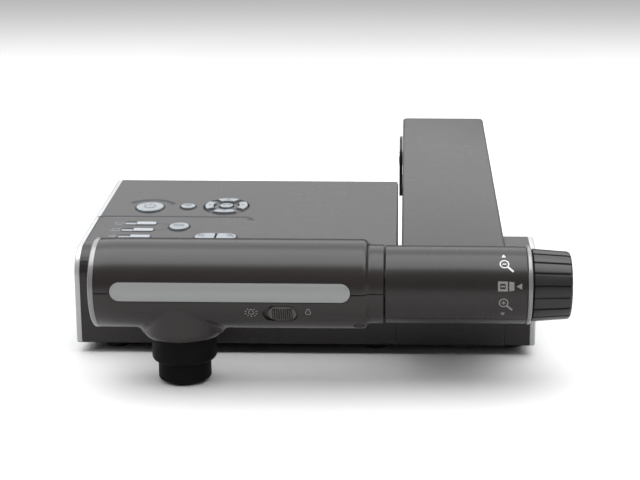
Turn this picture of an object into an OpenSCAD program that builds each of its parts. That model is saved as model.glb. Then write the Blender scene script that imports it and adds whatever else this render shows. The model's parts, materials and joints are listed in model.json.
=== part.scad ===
// Folding document camera. A wedge-shaped base holds the keypad and stands on rubber feet.
// A two-part folding arm lies along its right side, and a round camera head lies across its front.
// X runs to the right, Y to the rear and Z up. The first sections use X from the middle of the
// base, Y from its front face and Z from the table.

/* [Base] */
// Width over the two side trims
base_w = 280; // [276:1:290]
// Depth of the wedge under the keypad
base_d = 142; // [138:1:150]
// Height of the wedge's front face
base_front_h = 56.8; // [55:0.1:58]
// Slope of the keypad panel in degrees
panel_slope = 7.4; // [7:0.1:8]
// Radius of the wedge's front top edge
front_edge_r = 18; // [14:1:19]
// Width of the wedge under the keypad, with its side trim
panel_w = 194.9; // [194:0.1:195.4]
// Width of the short ear to the right of the arm, with its side trim
ear_w = 18.5; // [18.2:0.1:19]
// Depth of the ear
ear_d = 36.5; // [36.5:0.5:41]
// Thickness of each side trim
trim_w = 3.5; // [3:0.5:4]
// Wall of the base covers
wall = 2.5; // [2.2:0.1:2.8]
// Height of the rubber feet under the walls
foot_h = 6.2; // [6:0.1:8]

/* [Keypad] */
// How far a button stands out of the panel
button_proud = 1.8; // [1.6:0.1:2.2]
// Gap round a button
button_gap = 0.3; // [0.25:0.05:0.5]
// Diameter of the power button
power_d = 18; // [16:0.5:19]
// Diameter of the menu button
menu_d = 9.5; // [8:0.5:10]
// Diameter of the source button
source_d = 12.5; // [11:0.5:13]
// Outer diameter of the ring of four arrow buttons
dpad_d = 29; // [28:0.5:30]

/* [Arm] */
// Width of both arms
arm_w = 62.7; // [62.2:0.1:62.9]
// Thickness of each arm
arm_t = 24.3; // [24:0.1:24.6]
// Slope of the folded arms in degrees
arm_slope = 7.87; // [7.8:0.01:7.95]
// Wall of the arm covers
arm_wall = 2; // [1.8:0.1:2.2]
// Gap between the two folded arms
arm_gap = 0.7; // [0.6:0.1:0.8]
// Distance of the elbow axis behind the front face
elbow_y = 253.9; // [250:0.1:256]
// Height of the elbow axis above the table
elbow_z = 76.7; // [76.5:0.1:77]
// Distance between the shoulder and elbow axes along the arm
lower_arm_len = 234.5; // [233:0.5:236]
// How far the upper arm reaches behind the elbow axis
arm_overhang = 28.7; // [26:0.1:30]

/* [Head] */
// Radius of the camera head
head_r = 25.4; // [25:0.1:25.6]
// Distance of the head's axis in front of the base
head_front = 47.4; // [47:0.1:50]
// Height of the head's axis above the walls' lower edge
head_h = 51.6; // [51.5:0.1:52]
// Length of the head's thick section, with its end ring
head_len = 152.8; // [150:0.1:153]
// Left end of the head
head_x0 = -114.8; // [-117:0.1:-114.6]
// Radius of the head's neck
neck_r = 22.4; // [22:0.1:23]
// Wall of the head shells
head_wall = 2.2; // [2:0.1:2.4]
// Distance of the lens from the middle of the base
lens_x = -66; // [-70:0.1:-60]

/* [Zoom barrel] */
// Radius of the barrel at the arm's end
barrel_r = 22; // [21.9:0.1:22.4]
// Left end of the barrel
barrel_x0 = 49.4; // [49.3:0.1:50]
// Right end of the barrel
barrel_x1 = 128.4; // [128:0.1:129]
// Width of the bright ring next to the knob
ring_w = 2.9; // [2.6:0.1:3.3]
// Length of the zoom knob
knob_len = 21.9; // [21:0.1:24]
// Radius of the zoom knob at the ring
knob_r = 20.6; // [20:0.1:20.8]
// Number of grooves round the knob
knob_grooves = 18; // [12:1:24]

/* [Hidden] */
$fn = 96;
body_grey = [0.30, 0.29, 0.29];
trim_silver = [0.78, 0.79, 0.80];
key_grey = [0.72, 0.76, 0.80];
rubber_black = [0.06, 0.06, 0.06];
steel = [0.62, 0.63, 0.65];
board_green = [0.10, 0.32, 0.18];
lens_black = [0.05, 0.05, 0.055];

arc_steps = 10;          // flats in one rounded corner
front_lean = 1;        // how far the front face leans back at the top
rear_edge_r = 4;
foot_edge_r = 1.2;
floor_t = 3;             // bottom cover
floor_lift = 0.5;        // how far the bottom cover sits inside the walls
fit_gap = 0.1;           // between covers that meet
body_gap = 0.3;          // between pieces that move past each other
run_gap = 0.05;          // radial play of shafts
shaft_r = 5;             // shoulder and elbow shafts

base_x0 = -base_w / 2;
base_x1 = base_w / 2;
panel_x1 = base_x0 + panel_w;
ear_x0 = base_x1 - ear_w;
front_top = foot_h + base_front_h;
floor_z0 = foot_h + floor_lift;
floor_z1 = floor_z0 + floor_t;
rear_top = front_top + (base_d - front_lean) * tan(panel_slope);

arm_x1 = ear_x0 - 0.5;
arm_x0 = arm_x1 - arm_w;
bar_y = -head_front;
bar_z = foot_h + head_h;
// The head's axis, seen from the elbow, along and across the arm
bar_s = (bar_y - elbow_y) * cos(arm_slope) + (bar_z - elbow_z) * sin(arm_slope);
bar_t = (bar_z - elbow_z) * cos(arm_slope) - (bar_y - elbow_y) * sin(arm_slope);
upper_t0 = arm_gap / 2;
upper_t1 = upper_t0 + arm_t;
upper_mid = upper_t0 + arm_t / 2;
lower_t1 = -arm_gap / 2;
lower_t0 = lower_t1 - arm_t;
lower_mid = lower_t1 - arm_t / 2;
shoulder_s = -lower_arm_len;
shoulder_y = elbow_y + shoulder_s * cos(arm_slope) - lower_mid * sin(arm_slope);
shoulder_z = elbow_z + shoulder_s * sin(arm_slope) + lower_mid * cos(arm_slope);
barrel_seam_t = 9.2;     // seam of the barrel's bottom strip, across the arm
elbow_barrel_r = 9;
elbow_split = [arm_x0 + 12.3, arm_x1 - 12.3];   // where the elbow's barrels meet
frame_x0 = arm_x0 + arm_wall;
frame_x1 = arm_x1 - arm_wall;
rail_w = 4;
knob_x0 = barrel_x1 + ring_w + 0.6;
knob_x1 = knob_x0 + knob_len;
knob_taper = 1.4;
head_x1 = head_x0 + head_len;
neck_x1 = barrel_x0 - 0.8;
end_ring_w = 3;
arm_edge_r = 2;          // edges of the upper arm's rear end
arm_rear_y = elbow_y + arm_edge_r
    + (arm_overhang - arm_edge_r) * cos(arm_slope) - (upper_t0 + arm_edge_r) * sin(arm_slope);
label_proud = 0.1;

// Lens hood, measured down from the head's axis
collar_r = 23.4;
collar_drop = 30.2;
collar_edge_r = 5;
hood_r = 18.4;
hood_drop = 44.8;
tip_r = 15.1;
tip_drop = 56.2;
glass_r = 13.3;

// Middle of the whole object on the table
mid_x = (base_x0 + knob_x1) / 2;
mid_y = (bar_y - head_r - label_proud + arm_rear_y) / 2;

// ---------- outlines ----------

function xy(p) = [p.x, p.y];
function unit(v) = v / norm(v);
function at(list, i) = list[(i + len(list)) % len(list)];

// Points of one rounded corner at p, between the neighbours a and b
function corner(a, p, b, r) = r <= 0 ? [p] :
    let (u = unit(a - p), w = unit(b - p), half = acos(u * w) / 2,
         c = p + unit(u + w) * r / sin(half),
         s = p + u * r / tan(half) - c, e = p + w * r / tan(half) - c,
         a0 = atan2(s.y, s.x), turn = (180 - 2 * half) * sign(cross(s, e)))
    [for (i = [0:arc_steps]) c + r * [cos(a0 + turn * i / arc_steps), sin(a0 + turn * i / arc_steps)]];

// A closed outline of [x, y, corner radius] points
function rounded(pts) = [for (i = [0:len(pts) - 1])
    each corner(xy(at(pts, i - 1)), xy(pts[i]), xy(at(pts, i + 1)), pts[i].z)];

// The same outline moved inwards by d
function inset(pts, d) = [for (i = [0:len(pts) - 1])
    let (p = xy(pts[i]), u = unit(xy(at(pts, i - 1)) - p), w = unit(xy(at(pts, i + 1)) - p),
         q = p + unit(u + w) * d / sin(acos(u * w) / 2))
    [q.x, q.y, max(pts[i].z - d, 0)]];

// Side view of the wedge, down to a given lower edge
function wedge(depth, bottom) = [
    [front_lean * (bottom - foot_h) / base_front_h, bottom, foot_edge_r],
    [front_lean, front_top, front_edge_r],
    [depth, front_top + (depth - front_lean) * tan(panel_slope), rear_edge_r],
    [depth, bottom, foot_edge_r]];

// ---------- placing ----------

// Moves the finished piece so that the origin is under the middle of the object
module place() { translate([-mid_x, -mid_y, 0]) children(); }

// Extrudes a side view, drawn in Y and Z, from x0 to x1
module along_x(x0, x1) { translate([x0, 0, 0]) rotate([90, 0, 90]) linear_extrude(x1 - x0) children(); }

// A round bar along X
module rod(p, r, x0, x1) { translate([x0, p.x, p.y]) rotate([0, 90, 0]) cylinder(r = r, h = x1 - x0); }

// A turned tube along X
module tube(p, r, bore, x0, x1) {
    difference() {
        rod(p, r, x0, x1);
        rod(p, bore, x0 - 1, x1 + 1);
    }
}

module box(lo, hi) { translate(lo) cube(hi - lo); }

// The panel's surface: d is measured up the slope from the front, and Z is its normal
module on_panel(x, d) {
    translate([x, front_lean + d * cos(panel_slope), front_top + d * sin(panel_slope)])
        rotate([panel_slope, 0, 0]) children();
}

// The arms' own frame: Y along the arm from the elbow axis, Z across it
module in_arm() { translate([0, elbow_y, elbow_z]) rotate([arm_slope, 0, 0]) children(); }

// Turns a piece drawn straight in front of the head's axis down by an angle
module on_bar(x, angle) { translate([x, bar_y, bar_z]) rotate([angle, 0, 0]) children(); }

module stadium(w, h) {
    square([w - h, h], center = true);
    for (side = [-1, 1]) translate([side * (w - h) / 2, 0]) circle(d = h);
}

// ---------- keypad ----------

power_at = [-107.4, 81];
menu_at = [-82.6, 83];
source_at = [-82.6, 44.7];
dpad_at = [-57.5, 84.4];
pill_at = [-57.2, 26];
pill_w = 26;
pill_h = 12;
bar_lights = [[-108, 50.8, 5], [-108, 38.9, 5], [-108, 27.3, 4.4]];
bar_light_w = 20;
flange = 1.2;            // how far a button's flange reaches under the panel
key_travel = 1.2;
key_bottom = 5.2;        // lower end of a button's stem under the panel
key_flange_t = 0.8;

// A button of the given plan, with a flange that keeps it in the panel
module key_body(at, stem_at = [0, 0]) {
    on_panel(at.x, at.y) {
        translate([0, 0, -wall - body_gap - key_flange_t])
            linear_extrude(wall + body_gap + key_flange_t + button_proud) children(0);
        translate([0, 0, -wall - body_gap - key_flange_t]) linear_extrude(key_flange_t) children(1);
        translate([stem_at.x, stem_at.y, -key_bottom]) cylinder(r = 1.6, h = key_bottom - wall);
    }
}

module round_key(at, d) {
    key_body(at) {
        circle(d = d);
        circle(d = d + 2 * flange);
    }
}

// One of the four arrow buttons, a sector of the ring that points along angle
module sector(angle, r0, r1, half) {
    intersection() {
        difference() {
            circle(r = r1);
            circle(r = r0);
        }
        rotate(angle) polygon([[0, 0], [2 * r1, -2 * r1 * tan(half)], [2 * r1, 2 * r1 * tan(half)]]);
    }
}

dpad_hub_r = 4.8;
dpad_ring_r = 8.2;       // inner radius of the arrow buttons
module arrow_key(angle) {
    mid_r = (dpad_d / 2 + dpad_ring_r) / 2;
    key_body(dpad_at, mid_r * [cos(angle), sin(angle)]) {
        sector(angle, dpad_ring_r, dpad_d / 2, 36);
        sector(angle, dpad_ring_r - 1, dpad_d / 2 + 0.9, 40);
    }
}

module half_pill(side, grow) {
    intersection() {
        stadium(pill_w + 2 * grow, pill_h + 2 * grow);
        translate([side > 0 ? 0.5 : -pill_w, -pill_h]) square([pill_w - 0.5, 2 * pill_h]);
    }
}

module pill_key(side) {
    key_body(pill_at, [side * pill_w / 4, 0]) {
        half_pill(side, 0);
        half_pill(side, 0.9);
    }
}

module key_holes() {
    depth = wall + 4;
    for (key = [[power_at, power_d], [menu_at, menu_d], [source_at, source_d], [dpad_at, dpad_d]])
        on_panel(key[0].x, key[0].y) translate([0, 0, -depth])
            cylinder(r = key[1] / 2 + button_gap, h = 2 * depth);
    on_panel(pill_at.x, pill_at.y) translate([0, 0, -depth]) linear_extrude(2 * depth)
        stadium(pill_w + 2 * button_gap, pill_h + 2 * button_gap);
    for (light = bar_lights) on_panel(light.x, light.y) translate([0, 0, -depth])
        linear_extrude(2 * depth) stadium(bar_light_w, light.z);
}

// ---------- base ----------

post_at = [[-126, 38], [-126, 108], [30, 14], [44, 108]];
ear_post = [130, 9.2];
post_r = 3.6;
screw_r = 1.5;
socket_z = 24;           // lower side of the sockets in the rear wall
dc_x = -20;
video_x = 6;
usb_x = 30;
board_z = 20;            // main board's lower face
keypad_drop = 7;         // keypad board under the panel's surface

module base_top_cover() color(body_grey) place() difference() {
    union() {
        difference() {
            along_x(base_x0 + trim_w, panel_x1) polygon(rounded(wedge(base_d, foot_h)));
            along_x(base_x0, panel_x1 - wall) polygon(rounded(inset(wedge(base_d, foot_h - 2 * wall), wall)));
        }
        intersection() {
            along_x(base_x0 + trim_w, panel_x1) polygon(rounded(inset(wedge(base_d, foot_h), wall / 2)));
            for (p = post_at) translate([p.x, p.y, floor_z1]) cylinder(r = post_r, h = rear_top);
        }
    }
    key_holes();
    for (p = post_at) translate([p.x, p.y, 0]) cylinder(r = screw_r, h = board_z);
    rod([shoulder_y, shoulder_z], shaft_r + body_gap, panel_x1 - 2 * wall, panel_x1 + 1);
    // way through for the bottom cover under the arm
    box([panel_x1 - wall - 1, wall, 0], [panel_x1 + 1, ear_d - wall + fit_gap, floor_z1 + fit_gap]);
    socket_cutters(fit_gap);
}

module base_bottom_cover() color(body_grey * 0.8) place() difference() {
    union() {
        box([base_x0 + trim_w + fit_gap, wall + 0.2, floor_z0], [panel_x1 - wall - fit_gap, base_d - wall - fit_gap, floor_z1]);
        box([panel_x1 - wall - 1, wall + 0.2, floor_z0], [base_x1 - trim_w - fit_gap, ear_d - wall - fit_gap, floor_z1]);
        for (x = [-100, 10], y = [60, 125]) translate([x, y, floor_z1 - 0.5]) cylinder(r = 3, h = board_z - floor_z1 + 0.5);
    }
    for (p = concat(post_at, [ear_post])) translate([p.x, p.y, 0]) {
        cylinder(r = screw_r + 0.3, h = 3 * floor_z1);
        cylinder(r = 3.2, h = floor_z0 + 1.6);
    }
    // cooling slots
    for (i = [-4:4]) box([-40 + 6 * i, 60, 0], [-37.6 + 6 * i, 90, floor_z1 + 1]);
}

module side_trim(depth) {
    difference() {
        along_x(0, trim_w) polygon(rounded(wedge(depth, foot_h)));
        along_x(-1, 0.6) polygon(rounded(inset(wedge(depth, foot_h), 3.2)));
    }
}

module left_trim() color(trim_silver) place() translate([base_x0, 0, 0]) side_trim(base_d);

module right_trim() color(trim_silver) place() translate([base_x1, 0, 0]) mirror([1, 0, 0]) side_trim(ear_d);

module ear_cover() color(body_grey) place() difference() {
    union() {
        difference() {
            along_x(ear_x0, base_x1 - trim_w) polygon(rounded(wedge(ear_d, foot_h)));
            along_x(ear_x0 + wall, base_x1) polygon(rounded(inset(wedge(ear_d, foot_h - 2 * wall), wall)));
        }
        intersection() {
            along_x(ear_x0, base_x1 - trim_w) polygon(rounded(inset(wedge(ear_d, foot_h), wall / 2)));
            translate([ear_post.x, ear_post.y, floor_z1]) cylinder(r = post_r, h = rear_top);
        }
    }
    translate([ear_post.x, ear_post.y, 0]) cylinder(r = screw_r, h = board_z);
    rod([shoulder_y, shoulder_z], shaft_r + body_gap, ear_x0 - 1, ear_x0 + 2 * wall);
    box([ear_x0 - 1, wall, 0], [ear_x0 + wall + 1, ear_d - wall + fit_gap, floor_z1 + fit_gap]);
}

hinge_cover_h = 16;
module hinge_front_cover() color(body_grey * 0.85) place()
    along_x(panel_x1 + 0.2, ear_x0 - 0.2) polygon(rounded([
        [0, foot_h, 0.8],
        [front_lean * hinge_cover_h / base_front_h, foot_h + hinge_cover_h, 2.2],
        [9, foot_h + hinge_cover_h, 0.6],
        [9, foot_h + hinge_cover_h - wall, 0.6],
        [front_lean * hinge_cover_h / base_front_h + wall, foot_h + hinge_cover_h - wall, 0],
        [wall, foot_h, 0.6]]));

module ballast_plate() color(steel) place() difference() {
    box([-118, 24, floor_z1], [22, 118, floor_z1 + 4]);
    for (x = [-100, 10]) translate([x, 60, 0]) cylinder(r = 4, h = 40);
    box([-67, 55, 0], [-10, 95, 40]);
}

module main_board() color(board_green) place() {
    box([-118, 50, board_z], [38, 136, board_z + 1.6]);
    for (chip = [[-90, 70, 22, 22, 2.2], [-50, 72, 16, 16, 1.6], [-20, 80, 24, 14, 3], [-96, 108, 12, 18, 9]])
        translate([chip[0], chip[1], board_z + 1.5]) cube([chip[2], chip[3], chip[4]]);
}

module keypad_board() color(board_green) place() difference() {
    on_panel(-79, 58) translate([-41, -40, -keypad_drop - 1.6]) cube([82, 80, 1.6]);
    on_panel(-84, 64) translate([0, 0, -20]) cylinder(r = 2, h = 12);
}

foot_at = [[-118, 19], [-118, 128], [43, 19], [43, 128], [128, 23.5]];
foot_r = 8;
module rubber_feet() color(rubber_black) place()
    for (p = foot_at) translate([p.x, p.y, 0]) rotate_extrude() polygon(rounded([
        [0, 0, 0], [foot_r - 1, 0, 1.6], [foot_r, floor_z0 - 1, 0.8], [foot_r - 0.4, floor_z0, 0], [0, floor_z0, 0]]));

module base_screws() color(steel) place()
    for (p = concat(post_at, [ear_post])) translate([p.x, p.y, floor_z0 + 0.2]) {
        difference() {
            cylinder(r = 2.9, h = 1.4);
            translate([0, 0, -0.1]) cylinder(r = 1.3, h = 0.9, $fn = 6);
        }
        translate([0, 0, 1.4]) cylinder(r = screw_r, h = 11);
    }

// Openings in the rear wall for the three sockets
module socket_cutters(grow) {
    rear = base_d + 1;
    translate([dc_x, rear, socket_z + 4.5]) rotate([90, 0, 0]) cylinder(r = 4 + grow, h = wall + 2);
    box([video_x - 8.4 - grow, base_d - wall - 1, socket_z - grow], [video_x + 8.4 + grow, rear, socket_z + 7.4 + grow]);
    box([usb_x - 6 - grow, base_d - wall - 1, socket_z - grow], [usb_x + 6 + grow, rear, socket_z + 11 + grow]);
}

module dc_inlet() color(lens_black) place() {
    difference() {
        union() {
            box([dc_x - 4.5, base_d - 14, board_z + 1.6], [dc_x + 4.5, base_d - wall - fit_gap, socket_z + 9]);
            translate([dc_x, base_d - 0.3, socket_z + 4.5]) rotate([90, 0, 0]) cylinder(r = 4, h = wall + 1);
        }
        translate([dc_x, base_d, socket_z + 4.5]) rotate([90, 0, 0]) cylinder(r = 3.2, h = 11);
    }
    translate([dc_x, base_d - 2, socket_z + 4.5]) rotate([90, 0, 0]) cylinder(r = 1, h = 11);
}

module video_socket() color(steel) place() difference() {
    union() {
        box([video_x - 8.4, base_d - 14, board_z + 1.6], [video_x + 8.4, base_d - wall - fit_gap, socket_z + 1]);
        box([video_x - 8.4, base_d - 14, socket_z], [video_x + 8.4, base_d - 0.4, socket_z + 7.4]);
    }
    box([video_x - 7.6, base_d - 12.5, socket_z + 0.8], [video_x + 7.6, base_d + 1, socket_z + 6.6]);
}

module usb_socket() color(steel) place() difference() {
    union() {
        box([usb_x - 6, base_d - 16, board_z + 1.6], [usb_x + 6, base_d - wall - fit_gap, socket_z + 1]);
        box([usb_x - 6, base_d - 16, socket_z], [usb_x + 6, base_d - 0.4, socket_z + 11]);
    }
    box([usb_x - 5.2, base_d - 14.5, socket_z + 0.9], [usb_x + 5.2, base_d + 1, socket_z + 10.1]);
}

module indicator_lights() color([0.80, 0.86, 0.90]) place()
    for (light = bar_lights) on_panel(light.x, light.y) translate([0, 0, -wall - 1])
        linear_extrude(wall + 1.4) stadium(bar_light_w, light.z);

// ---------- buttons ----------

module power_button() color(key_grey) place() round_key(power_at, power_d);
module menu_button() color(key_grey) place() round_key(menu_at, menu_d);
module source_button() color(key_grey) place() round_key(source_at, source_d);
module dpad_up() color(key_grey) place() arrow_key(90);
module dpad_down() color(key_grey) place() arrow_key(-90);
module dpad_left() color(key_grey) place() arrow_key(180);
module dpad_right() color(key_grey) place() arrow_key(0);
module dpad_center() color(key_grey) place() key_body(dpad_at) {
    circle(r = dpad_hub_r - 0.3);
    circle(r = dpad_hub_r + 0.5);
}
module pill_button_left() color(key_grey) place() pill_key(-1);
module pill_button_right() color(key_grey) place() pill_key(1);

// ---------- shoulder ----------

bracket_t = 3;
bracket_left_x = panel_x1 - wall - 4.5;
bracket_right_x = ear_x0 + wall + 2;

module shoulder_bracket(x) {
    difference() {
        union() {
            along_x(x, x + bracket_t) {
                translate([shoulder_y, shoulder_z]) circle(r = 10);
                translate([shoulder_y - 10, floor_z1]) square([20, shoulder_z - floor_z1]);
            }
        }
        rod([shoulder_y, shoulder_z], shaft_r + run_gap, x - 1, x + bracket_t + 1);
    }
}

module shoulder_bracket_left() color(steel) place() {
    shoulder_bracket(bracket_left_x);
    box([bracket_left_x - 9, shoulder_y - 10, floor_z1], [bracket_left_x + 0.5, shoulder_y + 10, floor_z1 + 2]);
}

module shoulder_bracket_right() color(steel) place() shoulder_bracket(bracket_right_x);

module shoulder_shaft() color(steel) place() {
    rod([shoulder_y, shoulder_z], shaft_r, bracket_left_x - 3, bracket_right_x + 5);
    for (x = [bracket_left_x - 2, bracket_right_x + bracket_t + 0.2])
        rod([shoulder_y, shoulder_z], shaft_r + 2, x, x + 1.2);
}

module shoulder_spacer() color(lens_black) place()
    tube([shoulder_y, shoulder_z], 11.5, shaft_r + run_gap, panel_x1 + fit_gap, arm_x0);

// ---------- lower arm ----------

// Side view of the lower arm, moved inwards by d
module lower_arm_side(d) {
    translate([shoulder_s, lower_t0 + d]) square([-shoulder_s - 0.6 - d, arm_t - 2 * d]);
    translate([shoulder_s, lower_mid]) circle(r = arm_t / 2 - d);
}

module lower_arm_shell(t_from, t_to) {
    in_arm() difference() {
        intersection() {
            along_x(arm_x0, arm_x1) lower_arm_side(0);
            box([arm_x0 - 1, -300, t_from], [arm_x1 + 1, 20, t_to]);
        }
        along_x(frame_x0, frame_x1) lower_arm_side(arm_wall);
        rod([shoulder_s, lower_mid], 10, arm_x0 - 1, arm_x1 + 1);
        rod([0, 0], elbow_barrel_r + 0.5, arm_x0 - 1, arm_x1 + 1);
    }
}

module lower_arm_top_cover() color(body_grey) place() lower_arm_shell(lower_mid, 0);
module lower_arm_bottom_cover() color(body_grey) place() lower_arm_shell(lower_t0 - 1, lower_mid);

module lower_arm_frame() color(steel) place() in_arm() difference() {
    union() {
        for (x = [frame_x0, frame_x1 - rail_w])
            box([x, shoulder_s, lower_t0 + arm_wall], [x + rail_w, -12, lower_t1 - arm_wall]);
        box([frame_x0, shoulder_s, lower_mid - 1.5], [frame_x1, -12, lower_mid + 1.5]);
        // elbow barrels and their webs
        for (span = [[arm_x0 + body_gap, elbow_split[0] - 0.25], [elbow_split[1] + 0.25, arm_x1 - body_gap]]) {
            rod([0, 0], elbow_barrel_r, span[0], span[1]);
            box([max(span[0], frame_x0), -16, -elbow_barrel_r + 1], [min(span[1], frame_x1), -3, -4]);
        }
        rod([shoulder_s, lower_mid], 10, arm_x0 + body_gap, arm_x1 - body_gap);
    }
    rod([0, 0], shaft_r + run_gap, arm_x0 - 1, arm_x1 + 1);
    rod([shoulder_s, lower_mid], shaft_r + run_gap, arm_x0 - 1, arm_x1 + 1);
}

module elbow_shaft() color(steel) place() in_arm() rod([0, 0], shaft_r, arm_x0 - 3, arm_x1 - 0.6);

cap_r = 17.3;
module elbow_cap() color(body_grey) place() in_arm() difference() {
    union() {
        along_x(panel_x1 + 0.8, arm_x0 - body_gap) {
            circle(r = cap_r);
            translate([-cap_r, lower_t0]) square([cap_r, -lower_t0]);
        }
        box([panel_x1 + 0.8, -cap_r, lower_t0], [arm_x0, -1.5, -cap_r + 5]);
    }
    rod([0, 0], shaft_r + run_gap, arm_x0 - 3.1, arm_x0 + 1);
}

// ---------- upper arm and barrel ----------

module upper_arm_side(d) {
    polygon(rounded([
        [bar_s, upper_t0 + d, 0], [bar_s, upper_t1 - d, 0],
        [arm_overhang - d, upper_t1 - d, max(arm_edge_r - d, 0)],
        [arm_overhang - d, upper_t0 + d, max(arm_edge_r - d, 0)]]));
}

module upper_arm_shell(t_from, t_to) {
    in_arm() difference() {
        intersection() {
            along_x(arm_x0, arm_x1) upper_arm_side(0);
            box([arm_x0 - 1, -340, t_from], [arm_x1 + 1, 60, t_to]);
        }
        along_x(frame_x0, frame_x1) upper_arm_side(arm_wall);
        rod([bar_s, bar_t], barrel_r, arm_x0 - 1, arm_x1 + 1);
        rod([0, 0], elbow_barrel_r + 0.5, arm_x0 - 1, arm_x1 + 1);
    }
}

module upper_arm_top_cover() color(body_grey) place() upper_arm_shell(upper_mid, upper_t1 + 1);
module upper_arm_bottom_cover() color(body_grey) place() upper_arm_shell(0, upper_mid);

tilt_r = 8;
disc_t = 6;
tilt_discs = [arm_x0 + 2, arm_x0 + 24];
zoom_disc = arm_x1 - 8;
zoom_r = 4;

module upper_arm_frame() color(steel) place() in_arm() difference() {
    union() {
        for (x = [frame_x0, frame_x1 - rail_w])
            box([x, bar_s, upper_t0 + arm_wall], [x + rail_w, -12, upper_t1 - arm_wall]);
        box([frame_x0, bar_s + 12, upper_mid - 1.5], [frame_x1, 12, upper_mid + 1.5]);
        box([elbow_split[0] + 2, -8, 0], [elbow_split[1] - 2, 8, upper_mid]);
        rod([0, 0], elbow_barrel_r, elbow_split[0] + 0.25, elbow_split[1] - 0.25);
        for (x = concat(tilt_discs, [zoom_disc])) rod([bar_s, bar_t], barrel_r - 2.2, x, x + disc_t);
        box([tilt_discs[1], bar_s + 8, upper_mid - 1.5], [tilt_discs[1] + disc_t, bar_s + 40, upper_mid + 1.5]);
    }
    rod([0, 0], shaft_r + run_gap, arm_x0 - 1, arm_x1 + 1);
    rod([bar_s, bar_t], tilt_r + 0.02, tilt_discs[0] - 2, tilt_discs[1] + disc_t + 1);
    rod([bar_s, bar_t], zoom_r + run_gap, zoom_disc - 1, zoom_disc + disc_t + 1);
    box([frame_x0 + rail_w, bar_s - 30, upper_t0], [tilt_discs[1] - 0.5, bar_s - 12, upper_t1 + 20]);
}

module barrel_shell(t_from, t_to) {
    in_arm() difference() {
        intersection() {
            union() {
                tube([bar_s, bar_t], barrel_r, barrel_r - 2.2, barrel_x0, barrel_x1);
                rod([bar_s, bar_t], barrel_r - 1, barrel_x0, barrel_x0 + 2.2);
                rod([bar_s, bar_t], barrel_r - 1, barrel_x1 - 3.4, barrel_x1 - 1.4);
            }
            box([barrel_x0 - 1, bar_s - 40, t_from], [barrel_x1 + 1, bar_s + 40, t_to]);
        }
        rod([bar_s, bar_t], tilt_r + body_gap, barrel_x0 - 1, barrel_x0 + 4);
        rod([bar_s, bar_t], zoom_r + body_gap, barrel_x1 - 5, barrel_x1 + 1);
        // way in for the arm's frame
        box([frame_x0, bar_s, upper_t0 + arm_wall - fit_gap], [frame_x1, bar_s + 40, upper_t1 - arm_wall + fit_gap]);
    }
}

module barrel_cover() color(body_grey) place() barrel_shell(barrel_seam_t, bar_t + 40);
module barrel_bottom_strip() color(body_grey * 0.8) place() barrel_shell(-40, barrel_seam_t);

module barrel_ring() color(trim_silver) place() difference() {
    translate([barrel_x1, bar_y, bar_z]) rotate([0, 90, 0]) rotate_extrude() polygon(rounded([
        [knob_r + 0.4, 0, 0], [barrel_r - 0.2, 0, 0], [barrel_r + 0.3, 0.8, 0.6],
        [barrel_r + 0.3, ring_w - 0.8, 0.8], [barrel_r - 0.3, ring_w, 0], [knob_r + 0.4, ring_w, 0]]));
}

module tilt_shaft() color(steel) place()
    tube([bar_y, bar_z], tilt_r, 5.5, head_x1 - 22, tilt_discs[1] + disc_t);

module zoom_encoder() color(board_green) place() {
    tube([bar_y, bar_z], 15, 3, tilt_discs[1] + disc_t + 4, tilt_discs[1] + disc_t + 5.6);
    rod([bar_y, bar_z], 8, tilt_discs[1] + disc_t + 5.5, tilt_discs[1] + disc_t + 10);
}

module zoom_shaft() color(steel) place()
    rod([bar_y, bar_z], zoom_r, tilt_discs[1] + disc_t + 12.5, knob_x1 - 6);

module zoom_knob() color(lens_black) place() difference() {
    translate([knob_x0, bar_y, bar_z]) rotate([0, 90, 0]) difference() {
        union() {
            cylinder(r1 = knob_r, r2 = knob_r - knob_taper, h = knob_len - 1);
            translate([0, 0, knob_len - 1.01])
                cylinder(r1 = knob_r - knob_taper, r2 = knob_r - knob_taper - 1, h = 1.01);
        }
        translate([0, 0, -1]) difference() {
            cylinder(r = knob_r - 4, h = knob_len - 2);
            cylinder(r = 7, h = knob_len);
        }
        translate([0, 0, -1]) cylinder(r = zoom_r + run_gap, h = knob_len - 2.5);
        for (i = [0:knob_grooves - 1]) rotate((i + 0.85) * 360 / knob_grooves)
            translate([knob_r - knob_taper - 0.2, -0.45, 0.8]) cube([3, 0.9, knob_len]);
    }
}

// ---------- camera head ----------

// Turned outer shape of the head: radius and length along X from head_x0
function head_side(d) = [
    [0, end_ring_w + (d > 0 ? -1 : 0)], [head_r - d, end_ring_w + (d > 0 ? -1 : 0)],
    [head_r - d, head_len - d / 2], [neck_r - d, head_len + 2.8 - d / 2],
    [neck_r - d, neck_x1 - head_x0 - d], [0, neck_x1 - head_x0 - d]];

module head_turned(d) {
    translate([head_x0, bar_y, bar_z]) rotate([0, 90, 0]) rotate(180)
        rotate_extrude() polygon(head_side(d));
}

label_x = -36.1;
label_w = 132.6;
label_h = 10.7;
label_drop = -2.5;        // degrees below the head's front
switch_x = -8.6;
switch_drop = 27.8;
switch_w = 19.4;
switch_h = 11.6;
switch_travel = 2.5;
lamp_x = -22;
bush_x = [neck_x1 - 5.2, head_x1 - 20];
head_screw_at = [[35, bar_y - 14.5], [35, bar_y + 14.5], [-104, bar_y + 14.5]];

module label_blank(r0, r1, grow) {
    intersection() {
        tube([bar_y, bar_z], r1, r0, label_x - label_w, label_x + label_w);
        on_bar(label_x, label_drop) rotate([90, 0, 0]) linear_extrude(head_r + 10)
            stadium(label_w + 2 * grow, label_h + 2 * grow);
    }
}

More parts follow.
